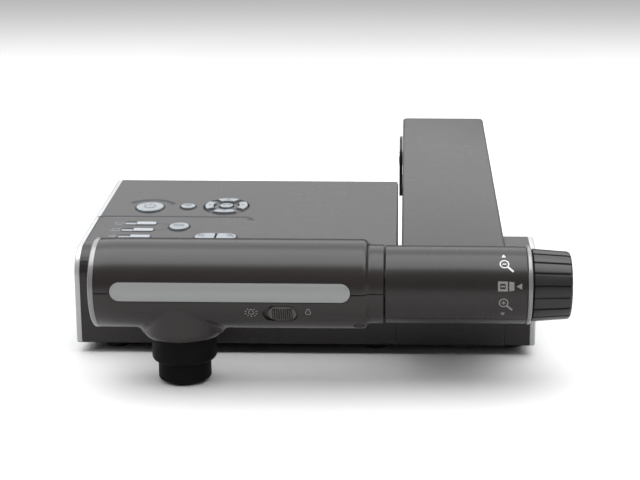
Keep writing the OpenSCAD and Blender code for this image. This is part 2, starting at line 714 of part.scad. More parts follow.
module head_cutters() {
    label_blank(head_r - 0.5, head_r + 1, 0.05);
    on_bar(switch_x, switch_drop) translate([0, -head_r + 6, 0]) rotate([90, 0, 0])
        linear_extrude(10) stadium(switch_w, switch_h);
    for (p = head_screw_at) translate([p.x, p.y, 0]) cylinder(r = 3.15, h = bar_z - 12);
    // lamp window
    translate([lamp_x, bar_y, 0]) linear_extrude(bar_z - 10) stadium(24, 10);
    // lens
    translate([lens_x, bar_y, 0]) cylinder(r = hood_r + run_gap, h = bar_z - 5);
    rod([bar_y, bar_z], 11.5, neck_x1 - 6, neck_x1 + 1);
    rod([bar_y, bar_z], 11.5, bush_x[1], bush_x[1] + 5);
}

module head_lower_shell() color(body_grey) place() difference() {
    union() {
        intersection() {
            difference() {
                head_turned(0);
                head_turned(head_wall);
            }
            box([-200, -120, 0], [200, 20, bar_z]);
        }
        // collar round the lens hood
        difference() {
            translate([lens_x, bar_y, bar_z]) rotate_extrude() polygon(rounded([
                [0, -collar_drop, 0], [collar_r, -collar_drop, collar_edge_r], [collar_r, 0, 0], [0, 0, 0]]));
            translate([lens_x, bar_y, bar_z - collar_drop + 2.4]) cylinder(r = collar_r - 3, h = collar_drop);
            intersection() {
                head_turned(head_wall);
                box([-200, -120, bar_z - 18], [200, 20, bar_z + 1]);
            }
        }
        // ribs that carry the inner bush and the screws
        head_rib(bar_z - head_r, bar_z);
        for (p = head_screw_at) translate([p.x, p.y, 0]) intersection() {
            translate([0, 0, bar_z - head_r]) cylinder(r = 4.2, h = head_r - 4);
            translate([-p.x, -p.y, 0]) head_turned(1);
        }
    }
    head_cutters();
    for (p = head_screw_at) translate([p.x, p.y, 0]) cylinder(r = screw_r + 0.2, h = bar_z + 1);
}

// A cross wall round the inner bush, between two heights
module head_rib(z0, z1) {
    intersection() {
        head_turned(1);
        box([bush_x[1] + 0.5, -120, z0], [bush_x[1] + 4.5, 20, z1]);
    }
}

module head_upper_shell() color(body_grey) place() difference() {
    union() {
        intersection() {
            difference() {
                head_turned(0);
                head_turned(head_wall);
            }
            box([-200, -120, bar_z], [200, 20, 200]);
        }
        head_rib(bar_z, bar_z + head_r);
        for (p = head_screw_at) intersection() {
            translate([p.x, p.y, bar_z - 4]) cylinder(r = 4.2, h = head_r);
            head_turned(1);
        }
    }
    label_blank(head_r - 0.5, head_r + 1, 0.05);
    rod([bar_y, bar_z], 11.5, neck_x1 - 6, neck_x1 + 1);
    rod([bar_y, bar_z], 11.5, bush_x[1], bush_x[1] + 5);
    for (p = head_screw_at) translate([p.x, p.y, 0]) cylinder(r = screw_r, h = bar_z + 8);
}

module end_ring() color(trim_silver) place()
    tube([bar_y, bar_z], head_r, head_r - 2, head_x0, head_x0 + end_ring_w);

module end_cap() color(body_grey) place() {
    rod([bar_y, bar_z], head_r - 2, head_x0 + 0.6, head_x0 + end_ring_w);
    tube([bar_y, bar_z], head_r - head_wall - fit_gap, head_r - head_wall - 2, head_x0 + end_ring_w, head_x0 + end_ring_w + 4);
}

module label_plate() color([0.70, 0.71, 0.72]) place() label_blank(head_r - 0.5, head_r + label_proud, 0);

module tilt_bushes() color([0.85, 0.84, 0.80]) place() {
    tube([bar_y, bar_z], 11.5, tilt_r + run_gap, neck_x1 - 5.2, neck_x1);
    tube([bar_y, bar_z], 11.5, tilt_r + run_gap, bush_x[1], bush_x[1] + 5);
}

// A turned ring about the lens axis, between two distances under the head's axis
module hood(r, bore, drop0, drop1, edge) {
    translate([lens_x, bar_y, bar_z]) rotate_extrude() polygon(rounded([
        [bore, -drop0, 0], [r, -drop0, 0], [r, -drop1, edge], [bore, -drop1, 0]]));
}

module lens_hood_upper() color(lens_black) place() hood(hood_r, tip_r, collar_drop - 3, hood_drop, 2.8);
module lens_hood_lower() color(lens_black) place() hood(tip_r - 0.02, glass_r, collar_drop + 4, tip_drop, 2);
module front_glass() color([0.10, 0.11, 0.14, 0.6]) place() hood(glass_r, 0, tip_drop - 5, tip_drop - 3.4, 0);

module lens_module() color(lens_black) place() {
    hood(glass_r, 0, 8, tip_drop - 8, 0);
    hood(18.5, glass_r - 0.5, collar_drop - 6.5, collar_drop - 3, 0);
}

module sensor_board() color(board_green) place() translate([lens_x, bar_y, bar_z - 8])
    translate([-14, -14, 0]) cube([28, 28, 1.6]);

module lamp_board() color(board_green) place() {
    translate([lamp_x, bar_y, bar_z - 15]) linear_extrude(1.6) stadium(28, 14);
    for (x = [-8, 0, 8]) translate([lamp_x + x, bar_y, bar_z - 16.2]) cylinder(r = 1.8, h = 1.3);
}

module lamp_window() color([0.9, 0.92, 0.95, 0.5]) place() intersection() {
    tube([bar_y, bar_z], head_r, head_r - head_wall, lamp_x - 20, lamp_x + 20);
    translate([lamp_x, bar_y, 0]) linear_extrude(bar_z) stadium(23.8, 9.8);
}

module head_screws() color(steel) place() for (p = head_screw_at) translate([p.x, p.y, bar_z - 12]) {
    translate([0, 0, -1.6]) difference() {
        cylinder(r = 2.8, h = 1.6);
        translate([0, 0, -0.1]) cylinder(r = 1.2, h = 0.9, $fn = 6);
    }
    cylinder(r = screw_r, h = 19);
}

module lamp_switch() color(body_grey) place() on_bar(switch_x + switch_travel / 2 - 0.1, switch_drop) {
    rotate([90, 0, 0]) translate([0, 0, head_r - 5]) linear_extrude(4.4)
        stadium(switch_w - switch_travel - 0.4, switch_h - 0.8);
    for (i = [-3:3]) translate([i * 1.35 - 0.3, -head_r, -3.6]) cube([0.6, 1, 7.2]);
}

base_top_cover();
base_bottom_cover();
left_trim();
right_trim();
ear_cover();
hinge_front_cover();
ballast_plate();
main_board();
keypad_board();
rubber_feet();
base_screws();
dc_inlet();
video_socket();
usb_socket();
indicator_lights();
shoulder_bracket_left();
shoulder_bracket_right();
shoulder_shaft();
shoulder_spacer();
power_button();
menu_button();
source_button();
dpad_up();
dpad_down();
dpad_left();
dpad_right();
dpad_center();
pill_button_left();
pill_button_right();
lower_arm_frame();
lower_arm_top_cover();
lower_arm_bottom_cover();
elbow_shaft();
elbow_cap();
upper_arm_frame();
upper_arm_top_cover();
upper_arm_bottom_cover();
barrel_cover();
barrel_bottom_strip();
barrel_ring();
tilt_shaft();
zoom_encoder();
zoom_shaft();
zoom_knob();
head_upper_shell();
head_lower_shell();
end_ring();
end_cap();
label_plate();
tilt_bushes();
lens_hood_upper();
lens_hood_lower();
front_glass();
lens_module();
sensor_board();
lamp_board();
lamp_window();
head_screws();
lamp_switch();
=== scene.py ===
import json
import math

import bmesh
import bpy
from mathutils import Matrix, Vector


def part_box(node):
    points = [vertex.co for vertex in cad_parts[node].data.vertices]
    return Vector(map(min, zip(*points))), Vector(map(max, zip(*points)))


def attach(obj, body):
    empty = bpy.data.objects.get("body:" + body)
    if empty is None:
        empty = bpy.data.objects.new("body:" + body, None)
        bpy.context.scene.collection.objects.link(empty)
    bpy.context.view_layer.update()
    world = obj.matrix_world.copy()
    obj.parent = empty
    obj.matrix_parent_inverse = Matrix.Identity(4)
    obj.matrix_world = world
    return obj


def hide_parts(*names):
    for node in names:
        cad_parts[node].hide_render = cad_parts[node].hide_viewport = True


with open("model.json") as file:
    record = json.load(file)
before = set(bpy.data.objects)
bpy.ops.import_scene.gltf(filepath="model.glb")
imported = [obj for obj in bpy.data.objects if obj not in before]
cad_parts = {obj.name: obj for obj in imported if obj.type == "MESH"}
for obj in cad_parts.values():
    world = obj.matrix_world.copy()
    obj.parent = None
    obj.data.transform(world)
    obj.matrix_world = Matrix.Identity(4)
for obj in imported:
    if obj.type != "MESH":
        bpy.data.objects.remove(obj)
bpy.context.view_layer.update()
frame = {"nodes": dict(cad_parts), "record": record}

# Folding document camera, folded flat. Lengths are millimetres, measured as in the CAD source:
# X from the middle of the base, Y from its front face and Z from the table. Angles are degrees.
# An angle round the head or the barrel counts from the front, downwards.

MM = 0.001
BASE_X0, BASE_DEPTH = -140.0, 142.0

# the origin, and the axis and radius of the camera head, as they stand in the frame
trim_lo, trim_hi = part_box("left_trim")
ring_lo, ring_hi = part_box("end_ring")
ORIGIN = Vector((trim_lo.x - BASE_X0 * MM, trim_hi.y - BASE_DEPTH * MM, 0))
BAR_Y = ((ring_lo.y + ring_hi.y) / 2 - ORIGIN.y) / MM
BAR_Z = (ring_lo.z + ring_hi.z) / 2 / MM
HEAD_R = (ring_hi.z - ring_lo.z) / 2 / MM
HEAD_X0 = (ring_lo.x - ORIGIN.x) / MM

# base
PANEL_SLOPE = 7.4
PANEL_X1 = 54.9
FRONT_LEAN = 1.0
FOOT_H = 6.2
FRONT_TOP = 63.0
FRONT_EDGE_R = 18.0
TRIM_W = 3.4
EAR_DEPTH = 36.5

# shells of the head and the barrel, with the gap on each side of a seam as an angle
WALL = 2.2
SEAM_R = 0.35
SEAM_GAP = 0.4
BORE_R = 8.4

# camera head
NECK_X1 = 48.6
LENS_X = -66.0
COLLAR_R = 23.4
COLLAR_DROP = 30.2
COLLAR_EDGE_R = 5.0
COLLAR_MOUTH_R = 18.6
BLEND_R = 4.0
SCREW_R = 3.15
SWITCH_TRAVEL = 2.5
# middle in X, angle round the head, width and height
LABEL = (-36.1, -2.5, 132.6, 10.7)
SWITCH = (-8.6, 27.8, 19.4, 11.6)

# barrel, ring and knob
BARREL_X = (49.4, 128.4)
BARREL_R = 22.0
BARREL_SEAM = 45.0
RING_W = 2.9
KNOB_X = (131.9, 153.8)
KNOB_R = 20.6
KNOB_GROOVES = 18
GROOVE_PHASE = math.radians(-13)
GROOVE_HALF_W = 0.55
GROOVE_DEPTH = 0.95

# upper arm
ARM_SLOPE = 7.87
ARM_X = (58.3, 121.0)
ARM_FRONT, ARM_END = -290.0, 28.7
ARM_MID, ARM_TOP = 12.7, 24.65
ELBOW = (253.9, 76.7)

# height of a print over its surface, the angle of a sharp edge, and the strips of a print that bends
PRINT = 0.04
SHARP = 32
STRIP = 0.7


# ---------- placing ----------

def axes(origin, u, v, w):
    """A matrix that takes local millimetres along u, v and w to metres in the row frame."""
    m = Matrix((u, v, w)).transposed().to_4x4() @ Matrix.Scale(MM, 4)
    return Matrix.Translation(origin) @ m


def point(x, y, z):
    return ORIGIN + Vector((x, y, z)) * MM


def uphill(angle):
    return Vector((0, math.cos(math.radians(angle)), math.sin(math.radians(angle))))


X, Y, Z = Vector((1, 0, 0)), Vector((0, 1, 0)), Vector((0, 0, 1))
PLAN = axes(ORIGIN, X, Y, Z)                            # seen from above
SIDE = axes(ORIGIN, Y, Z, X)                            # a side view pushed out along X
BAR = axes(point(0, BAR_Y, BAR_Z), -Y, -Z, X)           # turned about the head's axis
LENS = axes(point(LENS_X, BAR_Y, BAR_Z), X, Y, Z)       # turned about the lens axis
PANEL = axes(point(0, FRONT_LEAN, FRONT_TOP), X, uphill(PANEL_SLOPE), X.cross(uphill(PANEL_SLOPE)))
ARM = axes(point(0, *ELBOW), X, uphill(ARM_SLOPE), X.cross(uphill(ARM_SLOPE)))
switch_out = -uphill(SWITCH[1])
SWITCH_FACE = axes(point(SWITCH[0], BAR_Y, BAR_Z), X, -X.cross(switch_out), switch_out)


def wrap(x, angle, radius):
    """Bends a flat drawing round the head's axis, with its origin at x and an angle below the front."""
    def move(p):
        a = math.radians(angle) - p.y / radius
        r = radius + p.z
        return BAR @ Vector((r * math.cos(a), r * math.sin(a), x + p.x))
    return move


def by(matrix):
    return lambda p: matrix @ p


# ---------- materials ----------

FINE_SHARE = 0.35
NOISE_RANGE = (0.3, 0.7)
GRAIN_DEPTH = 0.00012
COAT_ROUGHNESS = 0.12


def node(tree, kind, **values):
    n = tree.nodes.new(kind)
    for key, value in values.items():
        if key in n.inputs:
            n.inputs[key].default_value = value
        else:
            setattr(n, key, value)
    return n


def material(name, low, high, rough, grain=900.0, bump=0.12, metal=0.0, coat=0.0, spec=0.5, streak=None,
             rough_spread=0.06, transmission=0.0, blotch=18.0):
    """Moulded or metal surface: two colours mixed by noise, with uneven roughness and a fine grain."""
    m = bpy.data.materials.new(name)
    m.use_nodes = True
    t = m.node_tree
    t.nodes.clear()
    out = node(t, "ShaderNodeOutputMaterial")
    s = node(t, "ShaderNodeBsdfPrincipled")
    s.inputs["Metallic"].default_value = metal
    s.inputs["Coat Weight"].default_value = coat
    s.inputs["Coat Roughness"].default_value = COAT_ROUGHNESS
    s.inputs["Specular IOR Level"].default_value = spec
    s.inputs["Transmission Weight"].default_value = transmission
    coords = node(t, "ShaderNodeTexCoord")
    at = coords.outputs["Object"]
    if streak:
        stretch = node(t, "ShaderNodeMapping")
        stretch.inputs["Scale"].default_value = streak
        t.links.new(at, stretch.inputs["Vector"])
        at = stretch.outputs["Vector"]
    broad = node(t, "ShaderNodeTexNoise", Scale=blotch, Detail=4.0, Roughness=0.6)
    fine = node(t, "ShaderNodeTexNoise", Scale=grain, Detail=3.0, Roughness=0.65)
    for n in (broad, fine):
        t.links.new(at, n.inputs["Vector"])
    broad_part = node(t, "ShaderNodeMath", operation="MULTIPLY")
    broad_part.inputs[1].default_value = 1 - FINE_SHARE
    mix = node(t, "ShaderNodeMath", operation="MULTIPLY_ADD")
    mix.inputs[1].default_value = FINE_SHARE
    t.links.new(broad.outputs["Fac"], broad_part.inputs[0])
    t.links.new(fine.outputs["Fac"], mix.inputs[0])
    t.links.new(broad_part.outputs[0], mix.inputs[2])
    ramp = node(t, "ShaderNodeValToRGB")
    for end, position, colour in zip(ramp.color_ramp.elements, NOISE_RANGE, (low, high)):
        end.position = position
        end.color = (*colour, 1)
    t.links.new(mix.outputs[0], ramp.inputs["Fac"])
    t.links.new(ramp.outputs["Color"], s.inputs["Base Color"])
    spread = node(t, "ShaderNodeMapRange")
    spread.inputs["From Min"].default_value = NOISE_RANGE[0]
    spread.inputs["From Max"].default_value = NOISE_RANGE[1]
    spread.inputs["To Min"].default_value = rough - rough_spread
    spread.inputs["To Max"].default_value = rough + rough_spread
    t.links.new(mix.outputs[0], spread.inputs["Value"])
    t.links.new(spread.outputs["Result"], s.inputs["Roughness"])
    relief = node(t, "ShaderNodeBump", Strength=bump, Distance=GRAIN_DEPTH)
    t.links.new(fine.outputs["Fac"], relief.inputs["Height"])
    t.links.new(relief.outputs["Normal"], s.inputs["Normal"])
    t.links.new(s.outputs["BSDF"], out.inputs["Surface"])
    return m


# each has the dark and the light end of its colour, then its roughness
BODY = material("satin_grey", (0.0175, 0.0152, 0.0147), (0.0203, 0.0178, 0.0172), 0.28, grain=2600,
                bump=0.22, rough_spread=0.015, spec=0.28)
HEAD = material("head_grey", (0.0192, 0.0162, 0.0156), (0.0220, 0.0188, 0.0180), 0.26, grain=2600, bump=0.2,
                rough_spread=0.015, spec=0.28)
# the underside's grey, also painted on the bay's face beside the arm as its shade
UNDERSIDE_AND_SHADE = material("underside_and_shade_grey", (0.012, 0.012, 0.012), (0.018, 0.018, 0.018), 0.5, grain=1800, bump=0.3,
                 spec=0.2)
SILVER = material("silver_paint", (0.365, 0.37, 0.374), (0.385, 0.39, 0.394), 0.3, grain=4200, bump=0.08,
                  metal=0.35, rough_spread=0.02)
# the trims' silver paint, darkened as painted shade on the rings' front faces
SHADED_RING_SILVER = material("shaded_ring_silver", (0.175, 0.172, 0.172), (0.205, 0.202, 0.202), 0.26, grain=4200, bump=0.08,
                metal=0.3)
PLATE = material("label_silver", (0.222, 0.226, 0.226), (0.258, 0.262, 0.262), 0.34, metal=0.15,
                 streak=(0.12, 6.0, 6.0), grain=1500, bump=0.1)
KEY = material("key_blue_grey", (0.135, 0.15, 0.163), (0.158, 0.175, 0.188), 0.27, grain=2400, bump=0.05,
               coat=0.25)
LIGHTPIPE = material("light_pipe", (0.17, 0.185, 0.205), (0.205, 0.22, 0.24), 0.25, grain=2000, bump=0.04,
                     coat=0.4)
LIGHTPIPE_DIM = material("light_pipe_dim", (0.15, 0.16, 0.17), (0.18, 0.19, 0.20), 0.3, grain=2000,
                         bump=0.04)
RUBBER = material("foot_rubber", (0.012, 0.012, 0.012), (0.024, 0.024, 0.024), 0.62, grain=1500, bump=0.5,
                  spec=0.3)
KNOB = material("soft_touch", (0.016, 0.0147, 0.015), (0.021, 0.0196, 0.020), 0.34, grain=3000, bump=0.35,
                spec=0.3)
LENS_BLACK = material("lens_black", (0.003, 0.003, 0.0033), (0.005, 0.005, 0.0055), 0.55, grain=2600,
                      bump=0.2, spec=0.06)
GLASS = material("coated_glass", (0.05, 0.06, 0.10), (0.08, 0.08, 0.14), 0.06, rough_spread=0.01, coat=1.0,
                 transmission=0.6, bump=0.0)
WINDOW = material("frosted_window", (0.80, 0.83, 0.86), (0.90, 0.92, 0.94), 0.35, transmission=0.55,
                  bump=0.1)
STEEL = material("zinc_steel", (0.46, 0.46, 0.47), (0.60, 0.60, 0.61), 0.28, metal=1.0, streak=(1, 8, 1),
                 grain=900)
CAST = material("cast_metal", (0.42, 0.42, 0.43), (0.54, 0.54, 0.55), 0.45, metal=0.9, grain=1600, bump=0.5)
ACETAL = material("acetal", (0.76, 0.75, 0.70), (0.82, 0.81, 0.77), 0.32, grain=1800)
BOARD = material("solder_mask", (0.012, 0.075, 0.035), (0.03, 0.13, 0.06), 0.3, grain=1400, coat=0.3)
SWITCH_GREY = material("switch_grey", (0.058, 0.052, 0.050), (0.066, 0.060, 0.058), 0.4, grain=2600,
                       bump=0.2, spec=0.35)
GROOVE = material("groove_shadow", (0.010, 0.010, 0.011), (0.015, 0.015, 0.016), 0.7, grain=1500, spec=0.08)
# painted shade on the sloping sides of the panel's grooves, drawn flat
DIP_SHADE = material("painted_dip_shade", (0.022, 0.022, 0.023), (0.026, 0.026, 0.027), 0.36, grain=2600, bump=0.22,
               spec=0.2, rough_spread=0.015)
# painted shade in the panel's grooves, round the keys and round and along the indicator lights
GROOVE_SHADE = material("painted_groove_shade", (0.026, 0.027, 0.029), (0.032, 0.033, 0.035), 0.5, grain=1500,
                       spec=0.12)
# painted highlight along the lower edge of the long groove on the panel
GROOVE_HIGHLIGHT = material("painted_groove_highlight", (0.094, 0.095, 0.098), (0.108, 0.109, 0.112), 0.4, grain=1500)
PRINT_WHITE = material("white_print", (0.46, 0.46, 0.46), (0.52, 0.52, 0.52), 0.4, grain=3000, bump=0.05)
PRINT_GREY = material("grey_print", (0.16, 0.157, 0.154), (0.19, 0.187, 0.184), 0.45, grain=3000, bump=0.05)
PRINT_DARK = material("dark_print", (0.055, 0.06, 0.066), (0.08, 0.086, 0.093), 0.45, grain=3000, bump=0.05)
PANEL_INK = material("panel_ink", (0.13, 0.135, 0.14), (0.16, 0.165, 0.17), 0.4, grain=3000, bump=0.05)
FLOOR = material("studio_floor", (0.60, 0.60, 0.60), (0.62, 0.62, 0.62), 0.8, grain=60, bump=0.02,
                 spec=0.1, blotch=0.7)

BY_SLOT = {
    "body_plastic": BODY, "underside_plastic": UNDERSIDE_AND_SHADE, "silver_trim": SILVER, "label_aluminium": PLATE,
    "keys": KEY, "indicator": LIGHTPIPE, "rubber": RUBBER, "knob_plastic": KNOB, "lens_black": LENS_BLACK,
    "lens_glass": GLASS, "clear_window": WINDOW, "steel": STEEL, "cast_aluminium": CAST, "acetal": ACETAL,
    "circuit_board": BOARD,
}
for part in frame["record"]["subparts"]:
    mesh = frame["nodes"][part["node"]].data
    mesh.materials.clear()
    mesh.materials.append(BY_SLOT[part["material_slot"]])


# ---------- outlines ----------

def polar(r, angle, cx=0.0, cy=0.0):
    return cx + r * math.cos(math.radians(angle)), cy + r * math.sin(math.radians(angle))


def arc(cx, cy, r, a0, a1, n):
    """Points round (cx, cy) from angle a0 to a1."""
    return [polar(r, a0 + (a1 - a0) * i / n, cx, cy) for i in range(n + 1)]


def shifted(points, x, y):
    return [(px + x, py + y) for px, py in points]


def circle(r, n=64, cx=0.0, cy=0.0):
    return arc(cx, cy, r, 0, 360, n)[:-1]


def stadium(w, h, n=16):
    """A bar with half-round ends."""
    a = (w - h) / 2
    return arc(a, 0, h / 2, -90, 90, n) + arc(-a, 0, h / 2, 90, 270, n)


def rounded(corners, steps=10):
    """A closed outline from (x, y, radius) corners."""
    points = []
    for i, (x, y, r) in enumerate(corners):
        p = Vector((x, y))
        a = Vector(corners[i - 1][:2]) - p
        b = Vector(corners[(i + 1) % len(corners)][:2]) - p
        a.normalize()
        b.normalize()
        if r <= 0:
            points.append((x, y))
            continue
        half = math.acos(max(-1, min(1, a.dot(b)))) / 2
        c = p + (a + b).normalized() * r / math.sin(half)
        s, e = p + a * r / math.tan(half) - c, p + b * r / math.tan(half) - c
        start = math.atan2(s.y, s.x)
        turn = math.copysign(math.pi - 2 * half, s.x * e.y - s.y * e.x)
        points += arc(c.x, c.y, r, math.degrees(start), math.degrees(start + turn), steps)
    return points


def panel_height(y):
    return FRONT_TOP + (y - FRONT_LEAN) * math.tan(math.radians(PANEL_SLOPE))


def box_outline(x0, y0, x1, y1, r, steps=10):
    """A rectangle with rounded corners."""
    return rounded([(x0, y0, r), (x1, y0, r), (x1, y1, r), (x0, y1, r)], steps)


def wedge(depth):
    """Side view of the base's wedge."""
    return rounded([(0, FOOT_H, 1.2), (FRONT_LEAN, FRONT_TOP, FRONT_EDGE_R),
                    (depth, panel_height(depth), 4), (depth, FOOT_H, 1.2)])


def area(points):
    """Signed area, positive when the outline runs anticlockwise."""
    return sum(a[0] * b[1] - b[0] * a[1] for a, b in zip(points, points[1:] + points[:1])) / 2


def shrink(points, d):
    """The outline moved inwards by d, point by point."""
    n = len(points)
    turn = 1 if area(points) > 0 else -1
    moved = []
    for i in range(n):
        p, a, b = Vector(points[i]), Vector(points[i - 1]), Vector(points[(i + 1) % n])
        u, w = (p - a), (b - p)
        if u.length < 1e-9:
            u = w
        if w.length < 1e-9:
            w = u
        u, w = u.normalized(), w.normalized()
        nu, nw = Vector((-u.y, u.x)) * turn, Vector((-w.y, w.x)) * turn
        m = (nu + nw).normalized()
        moved.append(tuple(p + m * d / max(0.5, m.dot(nu))))
    return moved


# ---------- meshes ----------

def linked(name, data):
    o = bpy.data.objects.new(name, data)
    bpy.context.scene.collection.objects.link(o)
    return o


def moved_mesh(name, bm, move):
    """The mesh of a local drawing, taken to its place in the frame."""
    for v in bm.verts:
        v.co = move(v.co.copy())
    bmesh.ops.recalc_face_normals(bm, faces=bm.faces)
    mesh = bpy.data.meshes.new(name)
    bm.to_mesh(mesh)
    bm.free()
    return mesh


def smooth(mesh, sharp=SHARP):
    mesh.shade_smooth()
    mesh.set_sharp_from_angle(angle=math.radians(sharp))


def piece(name, bm, mats, body, move, sharp=SHARP, replaces=(), slot="body_plastic"):
    """A visible piece that rides on a body, with one material or a list of them."""
    bmesh.ops.remove_doubles(bm, verts=bm.verts, dist=1e-5)
    mesh = moved_mesh(name, bm, move)
    for mat in mats if isinstance(mats, list) else [mats]:
        mesh.materials.append(mat)
    smooth(mesh, sharp)
    o = linked(name, mesh)
    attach(o, body)
    if replaces:
        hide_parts(*replaces)
    return o


def add_loops(bm, loops, closed=True):
    """Faces between rings of equal length, which close on themselves or are capped at both ends."""
    pairs = list(zip(loops, loops[1:]))
    if closed:
        pairs.append((loops[-1], loops[0]))
    n = len(loops[0])
    faces = [bm.faces.new((a[k], a[(k + 1) % n], b[(k + 1) % n], b[k])) for a, b in pairs for k in range(n)]
    if not closed:
        faces += [bm.faces.new(loops[0][::-1]), bm.faces.new(loops[-1])]
    return faces


def add_slab(bm, outline, z0, z1, r0=0.0, r1=0.0, dome=0.0, steps=4, index=0):
    """A plate of the outline from z0 to z1, with its lower and upper edges rounded and its top domed."""
    rings = []
    for k in range(steps + 1 if r0 > 0 else 1):
        a = math.pi / 2 * (1 - k / steps) if r0 > 0 else 0
        rings.append((r0 * (1 - math.cos(a)), z0 + r0 * (1 - math.sin(a))))
    for k in range(steps + 1 if r1 > 0 else 1):
        a = math.pi / 2 * k / steps if r1 > 0 else 0
        rings.append((r1 * (1 - math.cos(a)), z1 - r1 * (1 - math.sin(a))))
    loops = [[bm.verts.new((x, y, z)) for x, y in shrink(outline, d)] for d, z in rings]
    if dome:
        cx = sum(v.co.x for v in loops[-1]) / len(loops[-1])
        cy = sum(v.co.y for v in loops[-1]) / len(loops[-1])
        edge = [v.co.copy() for v in loops[-1]]
        for k in (0.75, 0.5, 0.25):
            loops.append([bm.verts.new((cx + (p.x - cx) * k, cy + (p.y - cy) * k, z1 + dome * (1 - k * k)))
                          for p in edge])
    for face in add_loops(bm, loops, closed=False):
        face.material_index = index


def slice_across(bm, gap):
    """Cuts a flat drawing into strips along X, so that it can bend."""
    n = int(max(abs(v.co.y) for v in bm.verts) / gap)
    for k in range(-n, n + 1):
        bmesh.ops.bisect_plane(bm, geom=bm.verts[:] + bm.edges[:] + bm.faces[:], plane_co=Y * k * gap,
                               plane_no=Y)


def slab(name, outline, z0, z1, mat, body, move, r0=0.0, r1=0.0, bend=0.0, **more):
    bm = bmesh.new()
    add_slab(bm, outline, z0, z1, r0, r1)
    if bend:
        slice_across(bm, bend)
    return piece(name, bm, mat, body, move, **more)


def add_lathe(bm, profile, n=128, radius=None):
    """Turns a closed outline of (z, r) points about local Z. radius(r, angle) may change r as it turns."""
    loops = []
    for z, r in profile:
        loop = []
        for k in range(n):
            a = 2 * math.pi * k / n
            turned = radius(r, a) if radius else r
            loop.append(bm.verts.new((turned * math.cos(a), turned * math.sin(a), z)))
        loops.append(loop)
    add_loops(bm, loops)


def lathe(name, profile, mat, body, move, n=128, radius=None, **more):
    bm = bmesh.new()
    add_lathe(bm, profile, n, radius)
    return piece(name, bm, mat, body, move, **more)


def half_tube(stations, a0, a1, n):
    """A shell turned from angle a0 to a1 with rounded long edges. stations are (x, radius)."""
    bm = bmesh.new()
    loops = []
    for x, r in stations:
        pts = []
        for end, way in ((a0, 1), (a1, -1)):
            corner = []
            for k in range(4):
                t = math.pi / 2 * k / 3
                inset = SEAM_R * (1 - math.sin(t))
                along = SEAM_R * (1 - math.cos(t))
                corner.append((r - inset, math.radians(end) + way * along / r))
            if way == 1:
                pts += corner
                pts += [(r, math.radians(a0 + (a1 - a0) * i / n)) for i in range(1, n)]
            else:
                pts += corner[::-1]
        pts += [(r - WALL, math.radians(a1 - (a1 - a0) * i / n)) for i in range(n + 1)]
        loops.append([bm.verts.new((q * math.cos(a), q * math.sin(a), x)) for q, a in pts])
    add_loops(bm, loops, closed=False)
    return bm


def cut(o, cutters):
    """Cuts the meshes in cutters out of o, and removes them."""
    for c in cutters:
        change = o.modifiers.new("cut", "BOOLEAN")
        change.operation = "DIFFERENCE"
        change.solver = "EXACT"
        change.object = c
    bpy.context.view_layer.update()
    dg = bpy.context.evaluated_depsgraph_get()
    mesh = bpy.data.meshes.new_from_object(o.evaluated_get(dg))
    o.modifiers.clear()
    o.data = mesh
    smooth(mesh)
    for c in cutters:
        bpy.data.objects.remove(c)


def cutter(outline, z0, z1, move):
    bm = bmesh.new()
    add_slab(bm, outline, z0, z1)
    return linked("cutter", moved_mesh("cutter", bm, move))


def add_ribbon(bm, points, width, height, closed=False, index=0):
    """A flat line of even width along points."""
    n = len(points)
    left, right = [], []
    for i in range(n):
        p = Vector(points[i])
        a = Vector(points[i - 1]) if i or closed else p - (Vector(points[1]) - p)
        b = Vector(points[(i + 1) % n]) if i < n - 1 or closed else p + (p - Vector(points[-2]))
        u, w = (p - a).normalized(), (b - p).normalized()
        m = Vector((-(u + w).y, (u + w).x)).normalized()
        m *= width / 2 / max(0.5, m.dot(Vector((-u.y, u.x))))
        left.append(bm.verts.new((p.x + m.x, p.y + m.y, height)))
        right.append(bm.verts.new((p.x - m.x, p.y - m.y, height)))
    for i in range(n if closed else n - 1):
        j = (i + 1) % n
        bm.faces.new((left[i], left[j], right[j], right[i])).material_index = index


def add_patch(bm, points, height, index=0):
    bm.faces.new([bm.verts.new((x, y, height)) for x, y in points]).material_index = index


# ---------- base ----------

def side_trim(name, x0, outer_left, depth):
    outer_r, inner_r = 1.3, 0.15
    r0, r1 = (outer_r, inner_r) if outer_left else (inner_r, outer_r)
    slab(name + "_moulding", wedge(depth), x0, x0 + TRIM_W, SILVER, "base", by(SIDE), r0=r0, r1=r1,
         replaces=(name,), slot="silver_trim")


side_trim("left_trim", BASE_X0, True, BASE_DEPTH)
side_trim("right_trim", -BASE_X0 - TRIM_W, False, EAR_DEPTH)


# ---------- keypad ----------

POWER, MENU, SOURCE, DPAD, PILL = (-107.4, 81), (-82.6, 83), (-82.6, 44.7), (-57.5, 84.4), (-57.2, 26)
POWER_R, MENU_R, SOURCE_R, CENTRE_R = 9.0, 4.75, 6.25, 4.3
DPAD_R = (8.5, 14.0)
DPAD_HALF_ANGLE = 32
DPAD_GAP_ANGLE = 1.5
PILL_W, PILL_H, PILL_GAP = 26.0, 12.0, 0.5
KEY_TOP = 1.35
KEY_FOOT = -3.6
MARK = KEY_TOP + PRINT
LIGHT_X = -108
LIGHTS = ((50.8, 5.0), (38.9, 5.0), (27.3, 4.4))
LIGHT_FOOT = -3.3


def sector(angle, r0, r1, half):
    """A piece of a ring, a little narrower on its inner edge."""
    inner = half - DPAD_GAP_ANGLE
    return arc(0, 0, r1, angle - half, angle + half, 14) + arc(0, 0, r0, angle + inner, angle - inner, 10)


def key(name, at, outline, marks, dome=0.25):
    bm = bmesh.new()
    add_slab(bm, shifted(outline, *at), KEY_FOOT, KEY_TOP - dome, 0.2, 0.55, dome)
    marks(bm, *at)
    piece(name + "_cap", bm, [KEY, PRINT_DARK], name, by(PANEL), replaces=(name,), slot="keys")


